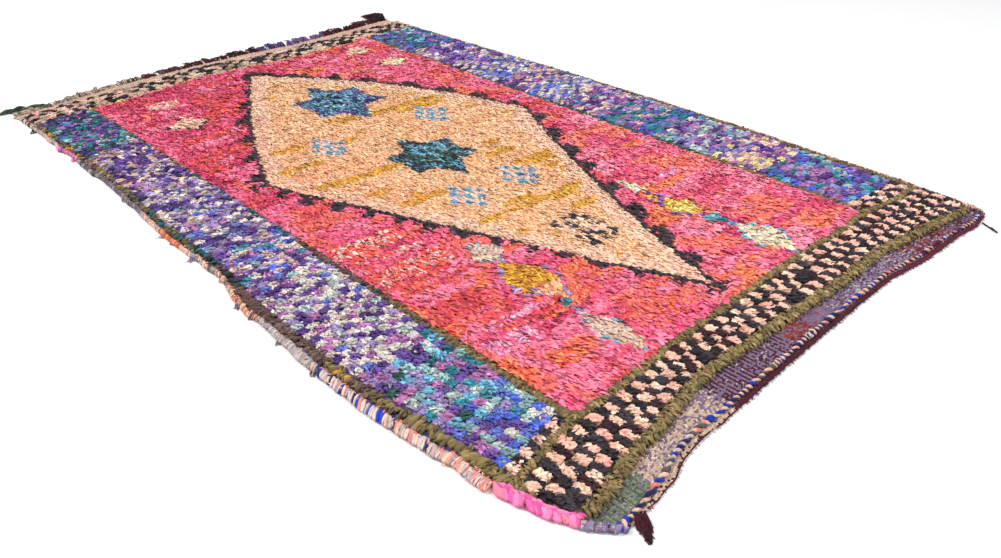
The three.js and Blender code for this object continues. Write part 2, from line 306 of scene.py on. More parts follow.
# Small figures on the pink: form, centre, half width, half length, fill, dots on the rim.
FIGURES = [
    ("e", -360, 873, 50, 36, ("shell", "check2", "rim", "blush"), None), ("d", -369, 680, 66, 58, ("peach3", "check", "shell"), "black"),
    ("e", 405, 894, 50, 34, ("shell", "check2", "rim", "blush"), None), ("d", 418, 710, 62, 54, ("peach3", "shell"), "black"),
    ("d", -263, -481, 46, 64, ("bsand", "sand", "beige"), "sky"),
    ("h", -270, -600, 54, 78, ("ochre", "ochre2", "ochre"), "lav"), ("v", -264, -668, 44, 58, ("peach", "peach2"), "lav"),
    ("e", -279, -738, 18, 16, ("teal", "dteal"), None), ("e", -284, -760, 7, 13, ("lav", "sky"), None),
    ("d", -291, -863, 38, 92, ("bsand", "beige", "sand", "beige"), "sky"),
    ("d", 236, -498, 20, 56, ("sand", "cream2", "check2"), "sky"), ("d", 226, -588, 24, 34, ("ochre", "gold"), "deep"),
    ("d", 233, -652, 50, 72, ("gold", "butter", "ochre"), "purple"), ("e", 245, -742, 24, 19, ("sage", "teal", "sky"), None),
    ("e", 245, -766, 12, 11, ("teal", "dteal"), None), ("e", 246, -786, 9, 14, ("sky", "royal"), None),
    ("d", 250, -880, 56, 94, ("bsand", "beige", "bsand", "sand"), "sky")]
ORANGE_RAG = [(-235, 10, -712, 30), (-225, 75, -808, 22), (-250, 60, -884, 34), (90, 300, -905, 20), (-505, -395, -640, 14)]
RED_FLECK = [(-518, -350, -262, 19), (-512, -318, -408, 22), (-440, -335, -336, 8), (-505, -440, -306, 9)]
LILAC_FLECK = [(-505, -395, -756, 24), (-470, -330, -700, 9), (330, 430, -520, 10)]


def field_dye(x, y, knot_y=None):
    """The dye of each strand of the field, from where it lies and the knot row it stands in."""
    dye = np.zeros(x.shape, int)
    n1, n2 = fine_streak(x, y), streak(x, y)
    row = np.clip(((y + 1100 + 2.0 * np.sin(x / 90.0)) / RAG_PITCH).astype(int), 0, RAG_GRID.shape[0] - 1)
    col = np.clip(((x + 560 + rng.normal(0, 4, x.shape)) / RAG_STEP).astype(int), 0, RAG_GRID.shape[1] - 1)
    kind = RAG_GRID[row, col]
    for k, (dyes, weights, _, _) in enumerate(RAGS):
        paint(dye, kind == k, dyes, weights)
    paint(dye, rng.random(x.shape) < 0.035, ("blush", "flame", "rose", "coral"))
    # orange rag worked in towards the near end
    for x0, x1, y0, high in ORANGE_RAG:
        paint(dye, (np.abs(y - y0 + 0.06 * (x - x0)) < high * (0.5 + 1.0 * n2)) & (x > x0 + 40 * n1) & (x < x1 - 40 * n2) & (rng.random(x.shape) < 0.62),
              ("coral", "salmon", "tang", "coral"))
    # red rag and lilac rag with pale flecks
    for x0, x1, y0, high in RED_FLECK:
        paint(dye, (np.abs(y - y0 + 0.05 * (x - x0)) < high * (0.9 + 1.1 * n1)) & (x > x0) & (x < x1) & (rng.random(x.shape) < 0.95),
              ("fleck", "fleck", "flame"))
    for x0, x1, y0, high in LILAC_FLECK:
        paint(dye, (np.abs(y - y0) < high * (0.6 + 0.8 * n1)) & (x > x0) & (x < x1) & (rng.random(x.shape) < 0.75), ("magfleck",))
    # knots step the drawn figures
    xq = (np.floor(x / 7.4) + 0.5) * 7.4 + rng.normal(0, 1.3, x.shape)
    yq = (np.floor(y / 10.7) + 0.5) * 10.7 if knot_y is None else knot_y
    yq = yq + rng.normal(0, 1.6, x.shape)
    for form, cx, cy, a, b, fill, dots in FIGURES:
        if form == "e":
            paint(dye, ((xq - cx) / a) ** 2 + ((yq - cy) / b) ** 2 < 1, fill)
            continue
        up, out = (yq - cy) / b, np.abs(xq - cx) / a
        d = out + np.abs(up)
        if form == "h":      # flat below, pointed above
            d = np.where(up > -0.1, out + np.clip(up, 0, None), np.maximum(out, -up * 1.12))
        if form == "v":      # a point hanging down
            d = np.where(up < 0, out - up, 2.0)
        if dots:
            ring = (d < 1.10) & (d >= 0.86) & ((np.floor((yq - cy + 600) / 21.4) + np.floor((xq - cx + 600) / 22)) % 2 == 0)
            paint(dye, ring, (dots,))
        paint(dye, d < 0.90, fill)
    paint(dye, (np.abs(xq + 282) < 18) & (np.abs(yq + 915) < 26) & (rng.random(x.shape) < 0.5), ("sand", "butter", "sand", "ochre2"))
    out, run, side = lozenge(xq, yq)
    every_, long_, line_, deep_ = (np.array([t[k] for t in TEETH], float)[side] for k in range(4))
    # no two teeth alike
    which = np.floor(run / every_)
    odd = 0.5 + 0.5 * np.sin(which * 12.9 + side * 4.1)
    line_ = line_ * 1.2
    deep_ = deep_ * (0.70 + 0.52 * odd)
    long_ = long_ * (0.72 + 0.55 * (0.5 + 0.5 * np.sin(which * 7.7 + 1.3)))
    tooth = (run % every_) < long_ * (1.10 - 0.40 * np.clip((out - line_) / (deep_ - line_), 0, 1))
    black = (out >= 0) & ((out < line_ * (0.7 + 0.9 * n1)) | ((out < deep_) & tooth))
    paint(dye, black, ("black", "char", "soot"), (5, 3.4, 1.2))
    lost = black & (out > line_ * 0.4) & (rng.random(x.shape) < 0.06)
    paint(dye, lost, ("hot", "rose"))
    fill = out < 0
    t2 = 0.5 * n1 + 0.5 * n2 + rng.normal(0, 0.10, x.shape)
    paint(dye, fill, ("peach", "peach3", "peach2"), (6, 1.5, 1.5))
    paint(dye, fill & (t2 < 0.40), ("peach2", "peach"), (4, 3))
    paint(dye, fill & (t2 > 0.64), ("peach3", "peach"), (4, 3))
    rim = fill & (out > -40 - 10 * n2)
    paint(dye, rim, ("rim", "peach3", "check"), (6, 2.5, 1))
    paint(dye, fill & (out > -58) & ~rim & (rng.random(x.shape) < 0.5), ("rim", "peach3"))
    body = fill & (out < -30)
    for x0, x1, y0, high in GOLD:
        edge = np.clip(np.minimum(x - x0, x1 - x) / 22, 0, 1)
        hit = body & (np.abs(y - y0 + 0.07 * (x - 0.5 * (x0 + x1))) < 1.2 * high * (0.35 + 0.65 * edge)) & (x > x0) & (x < x1)
        paint(dye, hit & (rng.random(x.shape) < 0.95), ("ochre", "gold", "ochre2"), (6, 2, 2))
    for cx, cy, a, b in BLUE_TILES:
        p, q = (xq - cx) / a + (yq - cy) / b, (xq - cx) / a - (yq - cy) / b
        hit = (np.abs(p) < 1.0) & (np.abs(q) < 1.0)
        gp, gq = (np.abs(g - np.clip(np.round(g / 0.74), -1, 1) * 0.74) < 0.215 for g in (p, q))
        paint(dye, hit, ("rim", "check", "check2"), (4, 3, 1.5))
        paint(dye, gp & gq, ("starblue", "teal", "sky", "bluegrey"), (5, 2, 2, 1))
        paint(dye, hit & ~(gp & gq) & (rng.random(x.shape) < 0.08), ("starblue", "sky"))
    iu = np.floor((xq + 67) / 14.4).astype(int)
    iv = np.floor((-484 - yq) / 15.0).astype(int)
    hit = (iu >= 0) & (iu < 7) & (iv >= 0) & (iv < 10)
    marks = np.array([[ch == "B" for ch in row_] for row_ in LATTICE])
    paint(dye, hit & (np.abs(yq + 558) < 62) & (rng.random(x.shape) < 0.7), ("check", "rim"))
    paint(dye, hit & marks[np.clip(iv, 0, 9), np.clip(iu, 0, 6)], ("black", "char"))
    patchy = noise_map(15, 9, 31)(x, y) + rng.normal(0, 0.06, x.shape)
    for cx, cy, size, tone_ in ((53, 521, 1.18, "blue"), (-3, 8, 1.05, "teal")):
        whole = star(xq, yq, cx, cy, size)
        core = star(xq, yq, cx, cy, size * 0.72)
        if tone_ == "blue":
            right = (xq - cx) * 0.8 - (yq - cy) * 0.5 > -10
            paint(dye, whole & right, ("starblue", "sky", "teal", "purple", "navy", "mist"), (5, 3, 2, 1.5, 1.6, 1.0))
            paint(dye, whole & ~right, ("dteal", "teal", "starblue", "pine", "navy", "sky"), (4, 3, 3, 2, 1.6, 1.2))
            paint(dye, whole & (patchy < 0.40), ("navy", "black", "deep", "dteal"), (4, 2, 2, 2))
            paint(dye, whole & (patchy > 0.62), ("sky", "starblue", "mist"), (5, 2, 2))
            rimmed = whole & ~core & (rng.random(x.shape) < np.where(right, 0.55, 0.30))
            paint(dye, rimmed, ("purple", "deep", "lav", "navy"), (4, 4, 1, 1))
        else:
            paint(dye, whole, ("dteal", "teal", "starblue", "pine", "sky", "black"), (4, 3, 2.2, 3, 1.2, 2.0))
            paint(dye, whole & (np.abs(xq - cx - 8) < 62) & (np.abs(yq - cy + 8) < 34), ("greycen", "pine", "dteal", "sage"), (5, 3, 2, 1.0))
            paint(dye, whole & (patchy < 0.40), ("black", "pine", "soot", "dteal"), (5, 2, 2, 1))
            paint(dye, whole & (patchy > 0.62), ("starblue", "sky", "sage"), (4, 3, 2))
            rimmed = whole & ~core & (rng.random(x.shape) < np.where(xq < cx + 10, 0.55, 0.30))
            paint(dye, rimmed, ("black", "soot", "char", "pine"), (5, 2, 2, 1))
    return dye
# ------------------------------------------------------------------ pattern of the borders
LEFT_ZONES = [  # y from, y to, how, dyes, weights
    (-1200, -850, "lump", ("peri", "royal", "sage", "purple", "mist", "lav", "teal", "mauve", "cream2"), (24, 10, 18, 13, 7, 7, 8, 7, 4)),
    (-850, -630, "lump", ("teal", "sky", "mauve", "purple", "sage", "dteal", "lav", "pine", "mist"), (13, 16, 21, 17, 8, 6, 10, 4, 5)),
    (-630, -270, "check", ("cream2", "cream", "mist", "purple", "mauve", "lav", "deep", "peri"), (20, 18, 8, 18, 18, 9, 8, 3)),
    (-270, -60, "lump", ("purple", "mauve", "lav", "cream", "royal", "peri", "deep", "sage", "teal"), (18, 15, 14, 19, 10, 8, 10, 5, 4)),
    (-60, 330, "dots", ("purple", "lav", "heather", "bluegrey", "deep", "lgrey", "royal", "mauve", "cream", "cream2"), (18, 13, 8, 10, 20, 8, 5, 9, 9, 4)),
    (330, 650, "dots", ("cream", "shell", "sand", "deep", "purple", "lav", "mauve", "navy"), (10, 14, 8, 16, 20, 10, 10, 5)),
    (650, 1200, "lump", ("dteal", "teal", "purple", "royal", "deep", "pine", "mauve", "sage", "navy"), (18, 12, 15, 7, 15, 10, 7, 9, 7))]
RIGHT_ZONES = [
    (-1200, -680, "lump", ("teal", "purple", "sky", "royal", "lav", "mauve", "dteal", "mist", "deep"), (15, 18, 12, 11, 14, 13, 7, 5, 7)),
    (-680, -520, "some", ("butter", "sand", "shell", "purple", "mauve", "deep", "lav", "navy"), (14, 14, 12, 18, 18, 12, 8, 4)),
    (-520, -336, "lump", ("mauve", "lav", "purple", "sage", "mist", "deep", "sky", "cream"), (20, 18, 15, 10, 12, 5, 8, 10)),
    (-336, -123, "lump", ("teal", "bluegrey", "peri", "royal", "dteal", "lav", "purple", "mauve", "beige"), (15, 12, 10, 10, 12, 10, 15, 9, 9)),
    (-123, 40, "lump", ("mauve", "purple", "deep", "lav", "shell", "teal", "cream"), (22, 20, 14, 12, 14, 5, 7)),
    (40, 190, "check", ("cream", "cream2", "peri", "royal", "lav", "bluegrey", "purple"), (20, 14, 18, 12, 14, 8, 8)),
    (190, 300, "dots", ("sand", "shell", "mauve", "lav", "purple", "deep"), (18, 14, 22, 10, 22, 10)),
    (300, 475, "some", ("cream", "cream2", "royal", "peri", "bluegrey", "lav", "deep"), (22, 14, 24, 16, 10, 10, 5)),
    (475, 720, "dots", ("cream", "shell", "purple", "deep", "lav", "royal", "mauve"), (11, 9, 26, 18, 13, 9, 12)),
    (720, 1200, "lump", ("teal", "dteal", "royal", "purple", "sage", "mauve", "peri", "deep", "pine"), (19, 10, 12, 14, 13, 12, 10, 9, 5))]
PALE = {"cream", "cream2", "mist", "shell", "butter", "sand", "lgrey"}
LEFT_OUTER = [  # y from, y to, dyes, how wide, how hairy
    (-1300, -700, ("olive", "olive2"), 25, 0.5), (-700, -650, ("brown", "brown2"), 22, 0.8), (-650, -560, ("ochre2", "olive", "olive"), 21, 0.8),
    (-560, -220, ("brown", "brown2", "brown"), 22, 1.4), (-220, -60, ("brown2", "pine", "soot"), 18, 1.0), (-60, 250, ("pine", "pine", "dteal", "olive2"), 15, 0.8),
    (250, 420, ("olive2", "dgrey", "olive"), 15, 0.8), (420, 640, ("olive", "olive3", "dgrey", "brown"), 14, 0.7), (640, 1300, ("olive", "ochre2", "dgrey", "olive2", "pine", "brown"), 13, 0.6)]
LEFT_INNER = [
    (-1300, -620, ("olive", "olive2"), 19, 0.6), (-620, -450, ("olive", "brown"), 18, 0.8), (-450, -400, ("pine", "brown"), 17, 0.8),
    (-400, -120, ("brown", "brown2"), 16, 0.9), (-120, 260, ("pine", "dteal", "lav", "bluegrey"), 10, 0.7), (260, 600, ("olive2", "pine", "beige"), 11, 0.6),
    (600, 1300, ("pine", "olive", "dteal"), 11, 0.6)]
RIGHT_INNER = [
    (-1300, -500, ("olive", "olive2"), 17, 0.7), (-500, -300, ("pine", "olive2"), 14, 0.7), (-300, 500, ("pine", "dteal", "pine"), 12, 0.6),
    (500, 1300, ("pine", "olive", "teal"), 12, 0.6)]
RIGHT_OUTER = [
    (-1300, -380, ("olive2", "brown", "olive"), 23, 1.6), (-380, 100, ("olive2", "brown", "pine"), 19, 1.4), (100, 600, ("teal", "pine", "mauve"), 16, 1.0),
    (600, 1300, ("pine", "brown", "mauve"), 15, 0.8)]
ROW_LINES = np.concatenate([np.arange(-976, -631, 23.0), np.arange(-630, 1003, 19.45)])


def zone(table, y):
    for row in table:
        if row[0] <= y < row[1]:
            return row
    return table[-1]


def border_cells(zones, rows, cols, black_rows):
    """One dye for each lump of a border, near end first, outer side first."""
    cells = np.zeros((rows, cols), int)
    for i in range(rows):
        y = 0.5 * (ROW_LINES[i] + ROW_LINES[i + 1])
        for j in range(cols):
            if i < black_rows:
                cells[i, j] = choose(1, ("black", "char", "soot"))[0] if (i + j) % 2 else choose(1, ("check", "check2"))[0]
                continue
            _, _, how, dyes, weights = zone(zones, y + rng.normal(0, 16))
            if how in ("check", "dots", "some"):
                pale = (i + j) % 2 == 0
                if rng.random() < 0.09:
                    pale = not pale
                if how != "check" and rng.random() < (0.40 if how == "dots" else 0.20):
                    pale = False
                pool = [(d, w) for d, w in zip(dyes, weights) if (d in PALE) == pale]
                cells[i, j] = choose(1, [d for d, _ in pool], [w for _, w in pool])[0]
            elif how == "streak" and j and rng.random() < 0.40:
                cells[i, j] = cells[i, j - 1]
            else:
                k = choose(1, dyes, weights)[0]
                if k in (cells[i - 1, j], cells[i, j - 1] if j else -1) and how == "lump":
                    k = choose(1, dyes, weights)[0]
                cells[i, j] = k
    return cells


# ------------------------------------------------------------------ meshes from arrays
def new_mesh(name, verts, faces, colors, uv=None, cell=None, smooth=True):
    """verts in metres; faces (n, 4) or (n, 3); colours per vertex, linear; uv and bake cells per corner."""
    mesh = bpy.data.meshes.new(name)
    verts = np.ascontiguousarray(verts, dtype=np.float32).reshape(-1, 3)
    faces = np.ascontiguousarray(faces, dtype=np.int32)
    n, side = faces.shape
    mesh.vertices.add(len(verts))
    mesh.vertices.foreach_set("co", verts.ravel())
    mesh.loops.add(n * side)
    mesh.loops.foreach_set("vertex_index", faces.ravel())
    mesh.polygons.add(n)
    mesh.polygons.foreach_set("loop_start", np.arange(0, n * side, side, dtype=np.int32))
    mesh.polygons.foreach_set("use_smooth", np.full(n, smooth, dtype=bool))
    mesh.update(calc_edges=True)
    attr = mesh.color_attributes.new("Dye", "FLOAT_COLOR", "POINT")
    rgba = np.ones((len(verts), 4), dtype=np.float32)
    rgba[:, :3] = np.clip(np.asarray(colors, float).reshape(-1, 3), 0, 1)
    attr.data.foreach_set("color", rgba.ravel())
    if uv is not None:
        layer = mesh.uv_layers.new(name="Cloth")
        layer.data.foreach_set("uv", np.ascontiguousarray(np.asarray(uv)[faces.ravel()], dtype=np.float32).ravel())
    if cell is not None:
        layer = mesh.uv_layers.new(name="OFBake")
        layer.data.foreach_set("uv", np.ascontiguousarray(np.asarray(cell)[faces.ravel()], dtype=np.float32).ravel())
    mesh.validate()
    obj = bpy.data.objects.new(name, mesh)
    bpy.context.scene.collection.objects.link(obj)
    return obj


def grid_faces(count, rows, cols, wrap=False):
    """Quads of count separate grids, each rows by cols points."""
    quads = []
    span = cols if wrap else cols - 1
    for j in range(rows - 1):
        for i in range(span):
            a, b = j * cols + i, j * cols + (i + 1) % cols
            quads.append((a, b, b + cols, a + cols))
    quads = np.array(quads)
    return (quads[None] + (np.arange(count) * rows * cols)[:, None, None]).reshape(-1, 4)


# ------------------------------------------------------------------ materials
def cloth_material(name, rib_scale, rib, mottle, sheen=0.25, rough=0.92, lump=0.0):
    mat = bpy.data.materials.new(name)
    mat.use_nodes = True
    nt = mat.node_tree
    bsdf = nt.nodes["Principled BSDF"]
    bsdf.inputs["Roughness"].default_value = rough
    bsdf.inputs["Sheen Weight"].default_value = sheen
    bsdf.inputs["Sheen Roughness"].default_value = 0.55
    bsdf.inputs["Specular IOR Level"].default_value = 0.18
    dye = nt.nodes.new("ShaderNodeVertexColor")
    dye.layer_name = "Dye"
    coord = nt.nodes.new("ShaderNodeTexCoord")
    noise = nt.nodes.new("ShaderNodeTexNoise")
    noise.inputs["Scale"].default_value = 260.0
    noise.inputs["Detail"].default_value = 3.0
    nt.links.new(coord.outputs["Object"], noise.inputs["Vector"])
    ramp = nt.nodes.new("ShaderNodeMapRange")
    ramp.inputs["From Min"].default_value = 0.3
    ramp.inputs["From Max"].default_value = 0.7
    ramp.inputs["To Min"].default_value = 1.0 - mottle
    ramp.inputs["To Max"].default_value = 1.0 + mottle
    nt.links.new(noise.outputs["Fac"], ramp.inputs["Value"])
    mul = nt.nodes.new("ShaderNodeVectorMath")
    mul.operation = "SCALE"
    nt.links.new(dye.outputs["Color"], mul.inputs[0])
    nt.links.new(ramp.outputs["Result"], mul.inputs["Scale"])
    nt.links.new(mul.outputs["Vector"], bsdf.inputs["Base Color"])
    uv = nt.nodes.new("ShaderNodeUVMap")
    uv.uv_map = "Cloth"
    wave = nt.nodes.new("ShaderNodeTexWave")
    wave.bands_direction = "X"
    wave.inputs["Scale"].default_value = rib_scale
    wave.inputs["Distortion"].default_value = 2.5
    wave.inputs["Detail"].default_value = 2.0
    wave.inputs["Detail Scale"].default_value = 2.0
    nt.links.new(uv.outputs["UV"], wave.inputs["Vector"])
    add = nt.nodes.new("ShaderNodeMath")
    add.operation = "ADD"
    nt.links.new(wave.outputs["Fac"], add.inputs[0])
    nt.links.new(noise.outputs["Fac"], add.inputs[1])
    bump = nt.nodes.new("ShaderNodeBump")
    bump.inputs["Strength"].default_value = rib
    bump.inputs["Distance"].default_value = 0.0008
    nt.links.new(add.outputs["Value"], bump.inputs["Height"])
    nt.links.new(bump.outputs["Normal"], bsdf.inputs["Normal"])
    return mat


RAG = cloth_material("rag_jersey", 2.6, 0.55, 0.10, sheen=0.10)
YARN = cloth_material("spun_yarn", 5.0, 0.7, 0.14, sheen=0.07)
GROUND = cloth_material("ground_cloth", 60.0, 0.8, 0.16, sheen=0.05, rough=0.97)


def finish_piece(obj, mat, node):
    obj.data.materials.append(mat)
    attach(obj, "root")
    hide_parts(node)
    return obj


# ------------------------------------------------------------------ rag strands
def frames(yaw, theta, roll):
    """Unit vectors along, across and out of a strand that leans towards the near end."""
    fwd = np.stack([np.sin(yaw), -np.cos(yaw), 0 * yaw], 1)
    side = np.stack([np.cos(yaw), np.sin(yaw), 0 * yaw], 1)
    up = np.array([0, 0, 1.0])
    along = np.sin(theta)[:, None] * fwd + np.cos(theta)[:, None] * up
    nor = -np.cos(theta)[:, None] * fwd + np.sin(theta)[:, None] * up
    across = np.cos(roll)[:, None] * side + np.sin(roll)[:, None] * nor
    out = -np.sin(roll)[:, None] * side + np.cos(roll)[:, None] * nor
    return along, across, out


PUFF = [(0, -0.62, -0.2), (0, 0.62, -0.2), (1, -1.0, -0.55), (1, 0.0, 1.0), (1, 1.0, -0.55), (2, -0.72, -0.5), (2, 0.0, 0.55), (2, 0.72, -0.5)]
PUFF_TRIS = np.array([(0, 2, 3), (0, 3, 1), (1, 3, 4), (2, 5, 6), (2, 6, 3), (3, 6, 7), (3, 7, 4)])
PUFF_UV = np.array([(0.5 + 0.5 * u, j / 2.0) for j, u, _ in PUFF])
# a flat strip of rag for the closer pile of the field
STRIP = [(0, -0.66, 0.0), (0, 0.66, 0.0), (1, -1.0, 0.0), (1, 1.0, 0.0), (2, -0.84, 0.0), (2, 0.84, 0.0)]
STRIP_TRIS = np.array([(0, 2, 3), (0, 3, 1), (2, 4, 5), (2, 5, 3)])
STRIP_UV = np.array([(0.5 + 0.5 * u, j / 2.0) for j, u, _ in STRIP])
# painted shade along a strand: the root row darker and deeper in colour than the middle and the tip
SHADE = np.array([0.60, 0.96, 1.08])
PAINTED_SHADE_DEEPEN = np.array([1.45, 1.0, 1.0])
FLECKED = {"fleck": ("white", 0.45), "magfleck": ("white", 0.30)}


def strands(x, y, z, dye, yaw, long, wide, fold, tilt=(54.0, 98.0), roll=17.0, value=0.09, tint=0.05, uneven=0.16, strip=False):
    """Short folded rag strands whose visible middle lies over (x, y); yaw 0 leans to the near end."""
    shape, tris, spots_uv = (STRIP, STRIP_TRIS, STRIP_UV) if strip else (PUFF, PUFF_TRIS, PUFF_UV)
    n = len(x)
    long = long * np.exp(rng.normal(0, 0.8 * uneven, n))
    wide = wide * np.exp(rng.normal(0, uneven, n))
    fold = fold * np.exp(rng.normal(0, 0.25, n))
    t0 = np.radians(tilt[0] + rng.normal(0, 9, n))
    t2 = np.radians(tilt[1] + rng.normal(0, 9, n))
    t1 = 0.5 * (t0 + t2)
    r0 = np.radians(rng.normal(0, roll, n))
    r2 = r0 + np.radians(rng.normal(0, roll, n))
    a0, _, _ = frames(yaw, 0.5 * (t0 + t1), r0)
    a1, _, _ = frames(yaw, 0.5 * (t1 + t2), r2)
    half = 0.5 * long[:, None]
    reach = a0 * half + a1 * half
    p0 = np.stack([x, y, z], 1) - np.concatenate([reach[:, :2] * 0.58, np.zeros((n, 1))], 1)
    rows = [p0, p0 + a0 * half, p0 + reach]
    axes = [frames(yaw, t, r) for t, r in ((t0, r0), (t1, 0.5 * (r0 + r2)), (t2, r2))]
    out = np.zeros((n, len(shape), 3))
    col = np.zeros((n, len(shape), 3))
    # painted light: one random side of each flat strip is coloured lighter than the other
    lit = np.where(rng.random(n) < 0.5, -1, 1)
    base = LINEAR[dye] * np.exp(rng.normal(0, value, n))[:, None] * np.exp(rng.normal(0, tint, (n, 3)))
    for k, (j, u, f) in enumerate(shape):
        _, across, nor = axes[j]
        out[:, k] = rows[j] + across * (u * 0.5 * wide * (1 + rng.normal(0, 0.08, n)))[:, None] + nor * (f * fold)[:, None]
        if j == 2:
            out[:, k] += axes[2][0] * rng.normal(0, 0.09, n)[:, None] * long[:, None]
        # painted shade and light: roots darker and deeper in colour; a folded strand darker and deeper along its edges,
        # lighter along its ridge
        if strip:
            col[:, k] = base ** (1.0 if j else 1.25) * ((1.10 if j else 0.80) * np.where(u * lit > 0, 1.14, 0.95))[:, None]
        else:
            col[:, k] = base ** (PAINTED_SHADE_DEEPEN[j] + (0.22 if u else 0.0)) * SHADE[j] * (0.86 if u else 1.12)
    out += rng.normal(0, 0.22, out.shape)
    col *= np.exp(rng.normal(0, 0.05, (n, len(shape), 1)))
    for key, (light, share) in FLECKED.items():
        hit = np.nonzero(dye == INDEX[key])[0]
        if len(hit):
            spots = rng.random((len(hit), len(shape))) < share
            sub = col[hit]
            sub[spots] = linear(DYE[light]) * 0.95
            col[hit] = sub
    out[..., 2] = np.clip(out[..., 2], 3.6, 26.5)
    return out, col, tris, spots_uv


def net(rows, cols):
    """Triangles and places of one small net of points."""
    tris = []
    for j in range(rows - 1):
        for i in range(cols - 1):
            a = j * cols + i
            tris += [(a, a + 1, a + cols + 1), (a, a + cols + 1, a + cols)]
    v, u = np.meshgrid(np.linspace(0, 1, rows), np.linspace(0, 1, cols), indexing="ij")
    return np.array(tris), np.stack([u.ravel(), v.ravel()], 1)


def joined(name, groups, mat=None, node="rug"):
    """One mesh from groups of small equal pieces: (verts, colours, triangles, places)."""
    side = int(math.ceil(math.sqrt(sum(len(g[0]) for g in groups))))
    verts, cols, faces, uv, cell = [], [], [], [], []
    start = first = 0
    for v, c, tris, spot in groups:
        n, m, _ = v.shape
        verts.append(v.reshape(-1, 3))
        cols.append(c.reshape(-1, 3))
        faces.append((tris[None] + (first + np.arange(n) * m)[:, None, None]).reshape(-1, 3))
        uv.append(np.tile(spot * (0.5, 1.2), (n, 1)) + np.repeat(rng.random((n, 2)) * 7, m, axis=0))
        k = start + np.arange(n)
        corner = np.stack([k % side, k // side], 1).astype(float)
        cell.append(((corner[:, None] + 0.08 + 0.84 * spot[None]) / side).reshape(-1, 2))
        start += n
        first += n * m
    obj = new_mesh(name, place(np.concatenate(verts)), np.concatenate(faces), np.concatenate(cols), np.concatenate(uv), np.concatenate(cell))
    return finish_piece(obj, mat or RAG, node)


def rim_drop(x, y):
    """The pile is shorter towards its four sides."""
    d = np.minimum.reduce([x - body_left(y), body_right(y) - x, y - at(NEAR_PILE, x), at(FAR_PILE, x) - y])
    return 4.0 * np.clip(1 - d / 16.0, 0, 1)


# the field: knot rows along the weft, the strands of a row close together, every other one a little lower
FX, FY = 300, 237
gj, gi = np.meshgrid(np.arange(FY), np.arange(FX), indexing="ij")
fx = -524 + 1048 * (gi + 0.25 + 0.5 * (gj % 2)) / FX + rng.normal(0, 0.8, gi.shape)
wave = 1.3 * np.sin(fx / 61.0 + gj * 1.7) + 1.1 * np.sin(fx / 23.0 + gj * 2.9)
row_y = field_y((gj + 0.5) / FY, fx) + wave
fy = row_y + np.where(gi % 2, -0.9, 0.9) + rng.normal(0, 1.0, gi.shape)
fx, fy, row_y = fx.ravel(), fy.ravel(), row_y.ravel()
fstep = np.where(gi.ravel() % 2, -0.6, 0.5)
fdye = field_dye(fx, fy, row_y)
out_of, _, _ = lozenge(fx, fy)
in_lozenge = out_of < 2
swell = 1.3 * (noise_map(34, 26, 21)(fx, fy) - 0.5) + 1.6 * (noise_map(150, 120, 22)(fx, fy) - 0.5)
lean = np.radians(np.interp(fy, [-950, 0, 900], [8, 10, 20]) + np.where(in_lozenge, 9, 26) * (noise_map(90, 46, 23)(fx, fy) - 0.5) * 2)


clump = (noise_map(15, 9, 41)(fx, fy) - 0.5) * np.interp(fy, [-700, 300], [0.5, 1.5])


def field_part(mask, wide, long, fold, yaw_sd, wild, value, deep, tilt, roll, slip, uneven):
    n = int(mask.sum())
    yaw = np.radians(rng.normal(0, yaw_sd, n)) + lean[mask]
    loose = rng.random(n) < wild
    yaw[loose] = np.radians(rng.uniform(-80, 110, int(loose.sum())))
    z = 12.0 + swell[mask] * deep + fstep[mask] + rng.normal(0, 0.45 * deep, n) + np.where(loose, 1.1, 0)
    strong = LINEAR[fdye[mask]].sum(1)
    value = np.where(strong < 0.9, 0.36, value) if deep < 1 else np.where(strong > 1.5, 0.08, value)
    out, col, tris, spot = strands(fx[mask], fy[mask] + rng.normal(0, slip, n), z, fdye[mask], yaw, long, wide, fold, tilt=tilt, value=value, roll=roll,
                                   uneven=uneven, strip=True)
    # tufts of neighbouring strands stand lighter or darker together
    col *= np.exp(clump[mask] * (0.55 if deep > 1 else 0.30))[:, None, None]
    # the pink pales a little towards the right, the cream warms towards its left corner
    if deep > 1:
        tone = 1 + np.interp(fx[mask], [-400, -120, 240], [-0.4, -0.2, 1])[:, None] * np.array([0.09, 0.21, 0.14])
    else:
        tone = 1 - np.interp(fx[mask], [-330, -130], [1, 0])[:, None] * np.array([0.06, 0.12, 0.14])
    col *= tone[:, None, :]
    return out, col, tris, spot


for name, mask in (("pile_lozenge_near", in_lozenge & (fy < 60)), ("pile_lozenge_far", in_lozenge & (fy >= 60))):
    joined(name, [field_part(mask, 4.6, 16.5, 1.9, 8, 0.015, 0.11, 0.8, (55, 121), 13, 1.8, 0.20)])
for name, mask in (("pile_pink_left", ~in_lozenge & (fx < 0)), ("pile_pink_right", ~in_lozenge & (fx >= 0))):
    joined(name, [field_part(mask, 5.4, 17.5, 2.4, 15, 0.05, 0.22, 1.6, (54, 118), 16, 1.7, 0.28)])

# lumps: the knots of one cell crumple into one soft mound of strands over a cushion
NET4 = net(4, 4)


